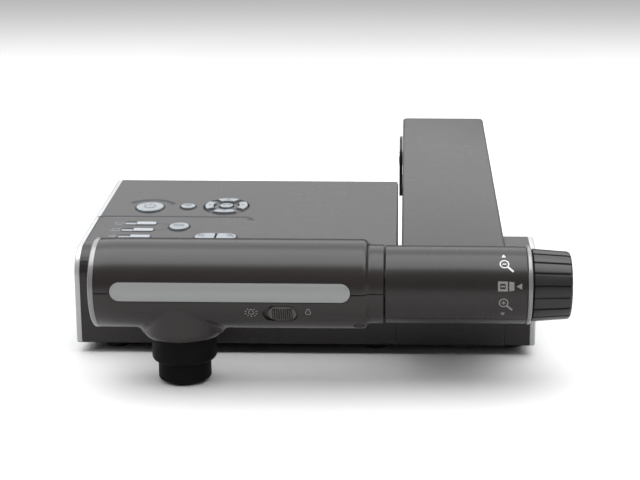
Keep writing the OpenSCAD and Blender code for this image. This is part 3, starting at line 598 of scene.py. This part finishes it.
def ink(bm, points, width, closed=False):
    """A printed line on a key."""
    add_ribbon(bm, points, width, MARK, closed, index=1)


def power_mark(bm, x, y):
    ink(bm, arc(x, y - 0.4, 3.4, 122, 418, 24), 0.9)
    ink(bm, [(x, y + 0.3), (x, y + 4.2)], 0.9)


def menu_mark(bm, x, y):
    for k in (-1, 0, 1):
        ink(bm, [(x - 1.9, y + 1.3 * k), (x + 1.9, y + 1.3 * k)], 0.35)


def source_mark(bm, x, y):
    ink(bm, shifted(box_outline(-2.9, -1.5, 2.9, 1.5, 0.5), x, y), 0.5, closed=True)
    ink(bm, [(x - 1.5, y), (x + 1.5, y)], 0.5)


def arrow_mark(angle):
    def marks(bm, x, y):
        c, s = math.cos(math.radians(angle)), math.sin(math.radians(angle))
        tip = [(12.2, 0), (10.2, 1.3), (10.2, -1.3)]
        add_patch(bm, [(x + c * a - s * b, y + s * a + c * b) for a, b in tip], MARK, index=1)
    return marks


def centre_mark(bm, x, y):
    ink(bm, [(x - 2.4, y - 0.5), (x + 2.4, y - 0.5)], 0.6)
    ink(bm, [(x + 2.4, y - 0.6), (x + 2.4, y + 1.6)], 0.6)


def pill_mark(side):
    def marks(bm, x, y):
        cx, cy = x + side * 9.0, y + 1.0
        ink(bm, circle(1.5, 20, cx, cy), 0.5, closed=True)
        ink(bm, [(cx - 0.8, cy), (cx + 0.8, cy)], 0.35)
        if side > 0:
            ink(bm, [(cx, cy - 0.8), (cx, cy + 0.8)], 0.35)
        ink(bm, [(cx + 1.2, cy - 1.2), (cx + 2.4, cy - 2.4)], 0.6)
    return marks


def half_pill(side):
    r = PILL_H / 2
    middle = 0 if side > 0 else 180
    tip = arc(side * (PILL_W / 2 - r), 0, r, middle - 90, middle + 90, 14)
    return tip + [(side * PILL_GAP, side * r), (side * PILL_GAP, -side * r)]


key("power_button", POWER, circle(POWER_R), power_mark)
key("menu_button", MENU, circle(MENU_R), menu_mark)
key("source_button", SOURCE, circle(SOURCE_R), source_mark)
for name, angle in (("dpad_right", 0), ("dpad_up", 90), ("dpad_left", 180), ("dpad_down", 270)):
    key(name, DPAD, sector(angle, *DPAD_R, DPAD_HALF_ANGLE), arrow_mark(angle), dome=0.12)
key("dpad_center", DPAD, circle(CENTRE_R), centre_mark)
for name, side in (("pill_button_left", -1), ("pill_button_right", 1)):
    key(name, PILL, half_pill(side), pill_mark(side), dome=0.2)

# indicator lights: a clear end, a dim stretch and a slit along it, dark with painted shade
bm = bmesh.new()
for y, h in LIGHTS:
    x0, gap_x, x1 = LIGHT_X - 10, LIGHT_X - 2.7, LIGHT_X + 10
    y0, y1 = y - h / 2, y + h / 2
    add_slab(bm, rounded([(gap_x + 0.1, y0, 0.7), (x1, y0, 1.4), (x1, y1, 1.4), (gap_x + 0.1, y1, 0.7)], 5),
             LIGHT_FOOT, 0.55, 0.1, 0.35)
    add_slab(bm, rounded([(x0, y0, 1.2), (gap_x, y0, 0.2), (gap_x, y1 - 1.7, 0.2), (x0, y1 - 1.7, 1.2)], 5),
             LIGHT_FOOT, 0.35, 0.1, 0.3, index=1)
    add_slab(bm, rounded([(x0, y1 - 1.5, 0.2), (gap_x, y1 - 1.5, 0.2), (gap_x, y1, 0.2), (x0, y1, 0.6)], 4),
             LIGHT_FOOT, -0.05, 0.1, 0.1, index=2)
piece("indicator_bars", bm, [LIGHTPIPE, LIGHTPIPE_DIM, GROOVE_SHADE], "base", by(PANEL),
      replaces=("indicator_lights",), slot="indicator")

# the panel between the arrow keys
WEB_TOP = -0.1
bm = bmesh.new()
add_ribbon(bm, circle(6.4, 48, *DPAD), 2.9, WEB_TOP, closed=True)
for angle in (45, 135, 225, 315):
    add_patch(bm, shifted(sector(angle, 8.0, 14.6, 10.5), *DPAD), WEB_TOP)
piece("dpad_web", bm, BODY, "base", by(PANEL))

# shallow grooves round the keys and along the panel, drawn flat in painted shade, with a painted highlight
# under the long groove
bm = bmesh.new()
for at, r in ((POWER, POWER_R + 0.7), (MENU, MENU_R + 0.75), (SOURCE, SOURCE_R + 0.75),
              (DPAD, DPAD_R[1] + 1.2)):
    add_ribbon(bm, circle(r, 64, *at), 0.9, PRINT, closed=True)
add_ribbon(bm, shifted(stadium(PILL_W + 1.4, PILL_H + 1.4), *PILL), 0.9, PRINT, closed=True)
for y, h in LIGHTS:
    add_ribbon(bm, shifted(stadium(21.2, h + 1.2), LIGHT_X, y), 0.8, PRINT, closed=True)
groove = arc(-133.6, 60.7, 3.0, 170, 90, 8)
groove += [(-110, 63.7), (-80, 63.7), (-50, 63.7)]
groove += arc(-44, 57.7, 6.0, 90, 0, 8)
add_ribbon(bm, groove, 3.8, PRINT, index=2)
add_ribbon(bm, groove, 1.5, 1.5 * PRINT)
add_ribbon(bm, [(-136.2, 20), (-136.4, 40), (-136.5, 60)], 0.7, PRINT)
power_arc = arc(POWER[0], POWER[1] - 2, 17.4, 142, 32, 28)
add_ribbon(bm, power_arc, 4.2, PRINT, index=2)
add_ribbon(bm, power_arc, 1.8, 1.5 * PRINT)
for line in ([(-97, 50.8), (-92, 50.4), (-88.5, 48.6)], [(-97, 38.9), (-92.5, 39.2), (-89.2, 41.2)]):
    add_ribbon(bm, line, 0.45, PRINT)
# painted highlight along the long groove's lower edge
add_ribbon(bm, [(x, y - 2.1) for x, y in groove], 0.6, PRINT, index=1)
piece("painted_groove_shading", bm, [GROOVE_SHADE, GROOVE_HIGHLIGHT, DIP_SHADE], "base", by(PANEL))

# an icon beside each light: a screen on a foot, a laptop and a lens
ICON_X = -121.6
bm = bmesh.new()
add_ribbon(bm, shifted(box_outline(-2.6, -1.9, 2.6, 1.9, 0.4, 4), ICON_X, 51.2), 0.5, PRINT, closed=True)
add_ribbon(bm, [(ICON_X - 1.4, 48.6), (ICON_X + 1.4, 48.6)], 0.5, PRINT)
add_ribbon(bm, shifted(box_outline(-2.4, -1.5, 2.4, 1.7, 0.4, 4), ICON_X, 39.6), 0.5, PRINT, closed=True)
add_ribbon(bm, [(ICON_X - 3.4, 37.2), (ICON_X + 3.4, 37.2)], 0.6, PRINT)
add_ribbon(bm, circle(1.9, 24, ICON_X, 27.6), 0.55, PRINT, closed=True)
add_patch(bm, circle(0.7, 16, ICON_X, 27.6), PRINT)
piece("panel_icons", bm, PANEL_INK, "base", by(PANEL))

# face of the bay beside the arm, painted dark as the shade that falls there
bay_rear = BASE_DEPTH - 1.2
bay_floor = 12
bay_side = rounded([(4, bay_floor, 1), (FRONT_LEAN + 2, FRONT_TOP - 1.5, FRONT_EDGE_R - 2),
                    (bay_rear, panel_height(bay_rear) - 1.2, 3), (bay_rear, bay_floor, 1)])
slab("bay_side", bay_side, PANEL_X1 - 0.3, PANEL_X1 + 0.55, UNDERSIDE_AND_SHADE, "base", by(SIDE), r1=0.2)


# ---------- camera head ----------

# two shells that meet at a seam, and narrow to the neck beside the barrel
R = HEAD_R
head_profile = [(HEAD_X0 + 2.6, R - 0.5), (HEAD_X0 + 3.15, R - 0.5), (HEAD_X0 + 3.3, R - 0.12),
                (HEAD_X0 + 3.6, R)]
head_profile += [(-100 + 15 * i, R) for i in range(9)]
head_profile += [(36.2, R), (37.4, R - 0.1), (38.3, R - 0.45), (39.0, R - 1.1), (39.6, R - 1.9),
                 (40.2, R - 2.5),
                 (41.0, R - 2.88), (42.0, R - 3), (NECK_X1 - 0.6, R - 3), (NECK_X1 - 0.2, R - 3.15),
                 (NECK_X1, R - 3.6)]
for name, a0, a1 in (("head_upper", 180 + SEAM_GAP, 360 - SEAM_GAP),
                     ("head_lower", SEAM_GAP, 180 - SEAM_GAP)):
    piece(name, half_tube(head_profile, a0, a1, 72), HEAD, "head", by(BAR), sharp=40,
          replaces=(name + "_shell",))

neck_bore = BORE_R + 0.2
neck_disc = [(-2.5, neck_bore), (-2.5, R - 5.6), (0.45, R - 5.8), (0.45, neck_bore)]
lathe("neck_disc", shifted(neck_disc, NECK_X1, 0), UNDERSIDE_AND_SHADE, "head", by(BAR), n=96)

# the lower shell's openings for the switch, the lamp and the screws
lower = bpy.data.objects["head_lower"]
lamp_x, lamp_w, lamp_h = -22, 24, 10
below = (10, BAR_Z - 12)
screws = [(35.0, BAR_Y - 14.5), (35.0, BAR_Y + 14.5), (-104.0, BAR_Y + 14.5)]
switch_w, switch_h = SWITCH[2:]
cut(lower, [cutter(stadium(switch_w, switch_h, 20), R - 1.7, R + 3, by(SWITCH_FACE)),
            cutter(shifted(stadium(lamp_w, lamp_h, 20), lamp_x, BAR_Y), *below, by(PLAN))]
    + [cutter(circle(SCREW_R, 32, x, y), *below, by(PLAN)) for x, y in screws])

# floor of the switch's recess, dark with painted shade, and wells round the screws
slab("switch_well", stadium(switch_w + 1, switch_h + 1, 20), R - 2.4, R - 1.75, GROOVE, "head",
     by(SWITCH_FACE))
bm = bmesh.new()
for x, y in screws:
    inner, outer = SCREW_R + 0.05, SCREW_R + 1.05
    top = BAR_Z - 11.5
    low = BAR_Z - math.sqrt((R - 0.8) ** 2 - (abs(y - BAR_Y) + inner) ** 2)
    add_loops(bm, [[bm.verts.new((px, py, z)) for px, py in circle(r, 32, x, y)]
                   for r, z in ((inner, low), (inner, top), (outer, top), (outer, low))])
piece("screw_wells", bm, HEAD, "head", by(PLAN))

# collar round the lens
collar = [(-7.5, COLLAR_R - 3), (-7.5, COLLAR_R)]
collar += arc(COLLAR_EDGE_R - COLLAR_DROP, COLLAR_R - COLLAR_EDGE_R, COLLAR_EDGE_R, 90, 180, 10)
collar += [(-COLLAR_DROP, COLLAR_MOUTH_R), (-COLLAR_DROP + 2.4, COLLAR_MOUTH_R - 0.15)]
lathe("lens_collar", collar, HEAD, "head", by(LENS), n=144, replaces=("head_lower_shell",), sharp=50)


# A soft blend of radius BLEND_R runs round the collar, where it meets the head.
ALONG_HEAD = 1e-3
HALVINGS = 26


def gap_to_bar(rho, z, s):
    """
    How far a point (rho, z) lies outside the head's outline in a vertical plane through the lens axis.
    s is the sine of the plane's angle to the head's axis.
    """
    if s < ALONG_HEAD:
        return -R - z
    best = math.inf
    for k in range(181):
        t = math.radians(k)
        best = min(best, math.hypot(R / s * math.sin(t) - rho, -R * math.cos(t) - z))
    inside = z > -math.sqrt(max(0.0, R * R - (rho * s) ** 2)) and rho * s < R
    return -best if inside else best


def blend_centre(s):
    """Height of the blend's centre, which is as far from the head as from the collar."""
    lo, hi = -R - BLEND_R - 1, -5.0
    for _ in range(HALVINGS):
        mid = (lo + hi) / 2
        if gap_to_bar(COLLAR_R + BLEND_R, mid, s) > BLEND_R:
            lo = mid
        else:
            hi = mid
    return (lo + hi) / 2


def nearest_on_bar(rho, z, s):
    if s < ALONG_HEAD:
        return rho, -R
    outline = [(R / s * math.sin(t), -R * math.cos(t))
               for t in [math.radians(k / 8) for k in range(8 * 180 + 1)]]
    return min(outline, key=lambda q: math.hypot(q[0] - rho, q[1] - z))


def blend_ring(n, steps):
    bm = bmesh.new()
    loops = []
    rho = COLLAR_R + BLEND_R
    for i in range(n):
        a = 2 * math.pi * i / n
        s = abs(math.sin(a))
        z = blend_centre(s)
        foot = nearest_on_bar(rho, z, s)
        end = math.atan2(foot[1] - z, foot[0] - rho)
        loop = [(COLLAR_R - 0.4, z)]
        loop += arc(rho, z, BLEND_R, 180, math.degrees(end), steps)
        loop.append((foot[0] + 0.35 * math.cos(end), foot[1] + 0.35 * math.sin(end)))
        loop.append((COLLAR_R - 0.4, max(foot[1], z) + 0.5))
        loops.append([bm.verts.new((r * math.cos(a), r * math.sin(a), h)) for r, h in loop])
    add_loops(bm, loops)
    return bm


piece("collar_blend", blend_ring(144, 10), HEAD, "head", by(LENS), sharp=60, replaces=("head_lower_shell",))

# bright ring, its silver darkened with painted shade, and cap at the left end
end_ring = [(3.0, R - 2), (3.0, R - 0.1), (2.8, R), (0.9, R), (0.45, R - 0.15), (0.12, R - 0.5),
            (0, R - 1.0), (0.1, R - 1.6), (0.5, R - 2)]
lathe("end_ring_moulding", shifted(end_ring, HEAD_X0, 0), SHADED_RING_SILVER, "head", by(BAR), n=160,
      replaces=("end_ring",), slot="silver_trim", sharp=50)
end_cap = [(6, R - 3.4), (6, R - 2.4), (1.4, R - 2.15), (0.8, R - 2.3), (0.55, R - 3.0), (0.35, R - 8),
           (0.25, R - 16), (0.22, 0.3), (3, 0.3), (3, R - 3.4)]
lathe("end_cap_disc", shifted(end_cap, HEAD_X0, 0), HEAD, "head", by(BAR), n=128, replaces=("end_cap",),
      sharp=50)

# blank label with a fine border of painted shadow
label_x, label_angle, label_w, label_h = LABEL
slab("label_border", stadium(label_w + 1.1, label_h + 1.1, 24), -0.4, 0.05, GROOVE, "head",
     wrap(label_x, label_angle, R), r1=0.04, bend=0.6)
slab("label_face", stadium(label_w, label_h, 24), -0.4, 0.1, PLATE, "head", wrap(label_x, label_angle, R),
     r1=0.08, bend=0.6, replaces=("label_plate",), slot="label_aluminium", sharp=60)

# lamp switch, with ribs over its middle on a plate dark with painted shade
slider_x = SWITCH_TRAVEL / 2 - 0.1
slider_w = switch_w - SWITCH_TRAVEL
rib_pitch = 1.2
bm = bmesh.new()
add_slab(bm, shifted(stadium(slider_w - 0.6, switch_h - 1.0, 18), slider_x, 0), R - 1.65, R - 0.9, 0.1, 0.0)
add_slab(bm, shifted(stadium(slider_w - 0.8, switch_h - 1.2, 18), slider_x, 0), R - 1.2, R - 0.15, 0.0, 0.7)
add_slab(bm, shifted(box_outline(-5.6, -4.2, 5.6, 4.2, 1.2, 4), slider_x, 0), R - 0.5, R - 0.1, index=1)
for i in range(-4, 5):
    x = slider_x + i * rib_pitch
    tall = 4.3 - 0.06 * i * i
    add_slab(bm, box_outline(x - 0.33, -tall, x + 0.33, tall, 0.15, 3), R - 0.5, R + 0.35, 0.0, 0.22)
piece("lamp_switch_cap", bm, [SWITCH_GREY, GROOVE], "lamp_switch", by(SWITCH_FACE),
      replaces=("lamp_switch",))


def bulb(bm, x, y, s):
    """A bulb's outline: an open ring and a cap on top."""
    line = 0.42 * s
    neck, cap_y = 0.7 * s, y + 2.5 * s
    add_ribbon(bm, arc(x, y, 1.5 * s, 125, 415, 20), line, PRINT)
    add_ribbon(bm, [(x - neck, y + 1.5 * s), (x - neck, cap_y), (x + neck, cap_y),
                    (x + neck, y + 1.5 * s)], line, PRINT)


# lamp marks on both sides of the switch: lit on the left, dark on the right
LAMP_ON = (-24.7, 0.4)
bm = bmesh.new()
bulb(bm, *LAMP_ON, 0.9)
for k in range(10):
    a = math.radians(36 * k + 18)
    c, s = math.cos(a), math.sin(a)
    beside_cap = abs(c) < 0.35 and s > 0
    if not beside_cap:
        add_ribbon(bm, shifted([(2.6 * c, 2.4 * s), (3.7 * c, 3.4 * s)], *LAMP_ON), 0.5, PRINT)
slice_across(bm, STRIP)
piece("lamp_on_icon", bm, PRINT_GREY, "head", wrap(0, 25.8, R))
bm = bmesh.new()
bulb(bm, 6.9, 0, 0.95)
slice_across(bm, STRIP)
piece("lamp_off_icon", bm, PRINT_GREY, "head", wrap(0, 24.6, R))


# ---------- barrel, ring and knob ----------

# barrel's front and its bottom strip, closed at both ends
x0, x1 = BARREL_X
barrel = [(x0, BARREL_R - 0.6), (x0 + 0.25, BARREL_R - 0.15), (x0 + 0.7, BARREL_R), (x0 + 20, BARREL_R),
          (x0 + 50, BARREL_R), (x1 - 0.7, BARREL_R), (x1 - 0.2, BARREL_R - 0.15), (x1, BARREL_R - 0.6)]
for name, a0, a1, n, node_name in (
        ("barrel_front", -172, BARREL_SEAM - SEAM_GAP, 84, "barrel_cover"),
        ("barrel_strip", BARREL_SEAM + SEAM_GAP, 180, 60, "barrel_bottom_strip")):
    piece(name, half_tube(barrel, a0, a1, n), BODY, "upper_arm", by(BAR), sharp=40, replaces=(node_name,))
bm = bmesh.new()
for x in (x0 + 1.2, x1 - 1.6):
    add_lathe(bm, [(x, BORE_R), (x, BARREL_R - 1), (x + 1.2, BARREL_R - 1), (x + 1.2, BORE_R)], 96)
piece("barrel_ends", bm, UNDERSIDE_AND_SHADE, "upper_arm", by(BAR))

# bright ring beside the knob, its silver darkened with painted shade, and the floor inside it
ring_r = BARREL_R + 0.3
floor_r = KNOB_R + 0.4
ring = [(0.15, KNOB_R + 0.2), (0.15, ring_r - 0.9), (0.45, ring_r - 0.3), (0.9, ring_r),
        (RING_W - 1.0, ring_r),
        (RING_W - 0.5, ring_r - 0.25), (RING_W - 0.15, ring_r - 0.8), (RING_W, KNOB_R + 0.2)]
lathe("barrel_ring_moulding", shifted(ring, x1, 0), SHADED_RING_SILVER, "upper_arm", by(BAR), n=160,
      replaces=("barrel_ring",), slot="silver_trim", sharp=60)
lathe("ring_floor", shifted([(0.4, 7), (0.4, floor_r), (1.0, floor_r), (1.0, 7)], x1, 0), UNDERSIDE_AND_SHADE,
      "upper_arm", by(BAR), n=96)


def grooved(r, a):
    """The grip's radius: rounded grooves with soft edges, and a slight crown between them."""
    if r < KNOB_R - 6:
        return r
    pitch = 2 * math.pi / KNOB_GROOVES
    off = abs((a - GROOVE_PHASE + pitch / 2) % pitch - pitch / 2) * r
    if off < GROOVE_HALF_W:
        return r - 0.05 - GROOVE_DEPTH * math.sqrt(1 - (off / GROOVE_HALF_W) ** 2)
    lip = 0.12 * max(0.0, 1 - (off - GROOVE_HALF_W) / 0.5) ** 2
    crown = 0.014 * (off / (pitch * r / 2)) ** 2
    return r - 0.05 - lip + crown


x0, x1 = KNOB_X
knob = [(x0, 8), (x0, KNOB_R - 0.6), (x0 + 0.25, KNOB_R - 0.2), (x0 + 0.7, KNOB_R), (x0 + 7, KNOB_R - 0.45),
        (x0 + 13, KNOB_R - 0.9), (x1 - 2.2, KNOB_R - 1.35), (x1 - 1.3, KNOB_R - 1.6),
        (x1 - 0.7, KNOB_R - 2.0),
        (x1 - 0.3, KNOB_R - 2.6), (x1 - 0.1, KNOB_R - 3.6), (x1, KNOB_R - 6.5), (x1 - 0.25, KNOB_R - 8.5),
        (x1 - 0.45, KNOB_R - 12), (x1 - 0.5, 2.0), (x1 - 1.5, 1.8), (x1 - 3, 4.2), (x0 + 4, 4.2)]
lathe("zoom_knob_grip", knob, KNOB, "zoom_knob", by(BAR), n=KNOB_GROOVES * 24, radius=grooved,
      replaces=("zoom_knob",), slot="knob_plastic", sharp=38)


def magnifier(plus):
    def draw(bm):
        add_ribbon(bm, circle(2.35, 28), 0.64, PRINT, closed=True)
        add_ribbon(bm, [(-1.1, 0), (1.1, 0)], 0.6, PRINT)
        if plus:
            add_ribbon(bm, [(0, -1.1), (0, 1.1)], 0.6, PRINT)
        add_ribbon(bm, [(1.8, -1.8), (4.9, -4.7)], 1.15, PRINT)
    return draw


def triangle(angle):
    def draw(bm):
        add_patch(bm, [polar(1.5, angle + turn) for turn in (0, 125, 235)], PRINT)
    return draw


def push_mark(bm):
    """A square, a key and an arrow that points at them."""
    add_ribbon(bm, [(-5.1, -2.1), (-0.9, -2.1), (-0.9, 2.1), (-5.1, 2.1)], 1.3, PRINT, closed=True)
    add_ribbon(bm, [(-4.1, 0), (-1.9, 0)], 0.9, PRINT)
    add_patch(bm, [(0.5, -2.7), (3.3, -2.2), (3.3, 2.2), (0.5, 2.7)], PRINT)
    add_patch(bm, [(4.4, 0), (7.6, -1.7), (7.6, 1.7)], PRINT)


for name, x, angle, mat, draw in (
        ("icon_up", 115.2, -61.0, PRINT_WHITE, triangle(90)),
        ("icon_wide", 115.4, -46.5, PRINT_WHITE, magnifier(False)),
        ("icon_tele", 115.0, 12.0, PRINT_GREY, magnifier(True)),
        ("icon_down", 114.8, 31.7, PRINT_GREY, triangle(270)),
        ("icon_push", 117.4, -12.7, PRINT_GREY, push_mark)):
    bm = bmesh.new()
    draw(bm)
    slice_across(bm, STRIP)
    piece(name, bm, mat, "upper_arm", wrap(x, angle, BARREL_R))


# ---------- upper arm ----------

# top shell, which rises from the arm's middle to its top
arm_top = rounded([(ARM_X[0], ARM_FRONT, 0), (ARM_X[1], ARM_FRONT, 0), (ARM_X[1], ARM_END, 3.5),
                   (ARM_X[0], ARM_END, 3.5)])
slab("arm_top_shell", arm_top, ARM_MID, ARM_TOP, BODY, "upper_arm", by(ARM), r1=1.6,
     replaces=("upper_arm_top_cover",), sharp=40)


# ---------- floor, light and camera ----------

FLOOR_HALF = 12
BOX_W = 4.0
SHEEN_Z, OVERHEAD_Z, SKY_Z = 1.3, 1.36, 6.0
COOL = (0.95, 0.975, 1.0)
AMBIENT = 0.08

bm = bmesh.new()
bmesh.ops.create_grid(bm, x_segments=8, y_segments=8, size=FLOOR_HALF)
floor_mesh = bpy.data.meshes.new("floor")
bm.to_mesh(floor_mesh)
bm.free()
floor_mesh.materials.append(FLOOR)
linked("floor", floor_mesh)


def softbox(name, y0, y1, z, radiance, width=BOX_W, glossy=True, diffuse=True, colour=(1, 1, 1)):
    """A box light that faces down, from y0 to y1, given by its radiance. Metres."""
    length = y1 - y0
    data = bpy.data.lights.new(name, "AREA")
    data.shape = "RECTANGLE"
    data.size, data.size_y = width, length
    data.energy = radiance * math.pi * width * length
    data.color = colour
    o = linked(name, data)
    o.location = (0, (y0 + y1) / 2, z)
    o.visible_camera = False
    o.visible_glossy = glossy
    o.visible_diffuse = diffuse


# The two sheens are seen only in the gloss of the surfaces. The other boxes give them no gloss.
softbox("overhead", -0.86, 1.6, OVERHEAD_Z, 2.6, glossy=False)
softbox("overhead_sheen", -0.86, 0.35, SHEEN_Z, 5.6, diffuse=False, colour=COOL)
softbox("rear_sheen", 0.35, 3.2, SHEEN_Z, 2.0, diffuse=False, colour=COOL)
softbox("foreground", -2.2, -0.88, SHEEN_Z, 0.9, glossy=False)
softbox("sky", -14.0, 14.0, SKY_Z, 0.7, width=28.0, glossy=False)

world = bpy.data.worlds.new("studio")
world.use_nodes = True
world.node_tree.nodes["Background"].inputs["Color"].default_value = (1, 1, 1, 1)
world.node_tree.nodes["Background"].inputs["Strength"].default_value = AMBIENT
bpy.context.scene.world = world
bpy.context.scene.view_settings.view_transform = "Standard"

# The camera stands in front, above the table, and looks down at the object
CAMERA_AT = (59.95, -797.18, 262.45)
YAW, PITCH, ROLL = math.radians(-0.7), math.radians(13.43), math.radians(0.23)
FOCAL_LENGTH, SENSOR_W, SHIFT_X = 77.0, 36, -0.1065
camera_data = bpy.data.cameras.new("camera")
camera = linked("camera", camera_data)
bpy.context.scene.camera = camera
forward = Vector((math.sin(YAW) * math.cos(PITCH), math.cos(YAW) * math.cos(PITCH), -math.sin(PITCH)))
level_right = Vector((math.cos(YAW), -math.sin(YAW), 0))
level_up = level_right.cross(forward)
right = level_right * math.cos(ROLL) + level_up * math.sin(ROLL)
up = -level_right * math.sin(ROLL) + level_up * math.cos(ROLL)
turned = Matrix((right, up, -forward)).transposed().to_4x4()
camera.matrix_world = Matrix.Translation(point(*CAMERA_AT)) @ turned
camera_data.lens = FOCAL_LENGTH
camera_data.sensor_width = SENSOR_W
camera_data.shift_x = SHIFT_X
camera_data.clip_start = 0.01
camera_data.clip_end = 60
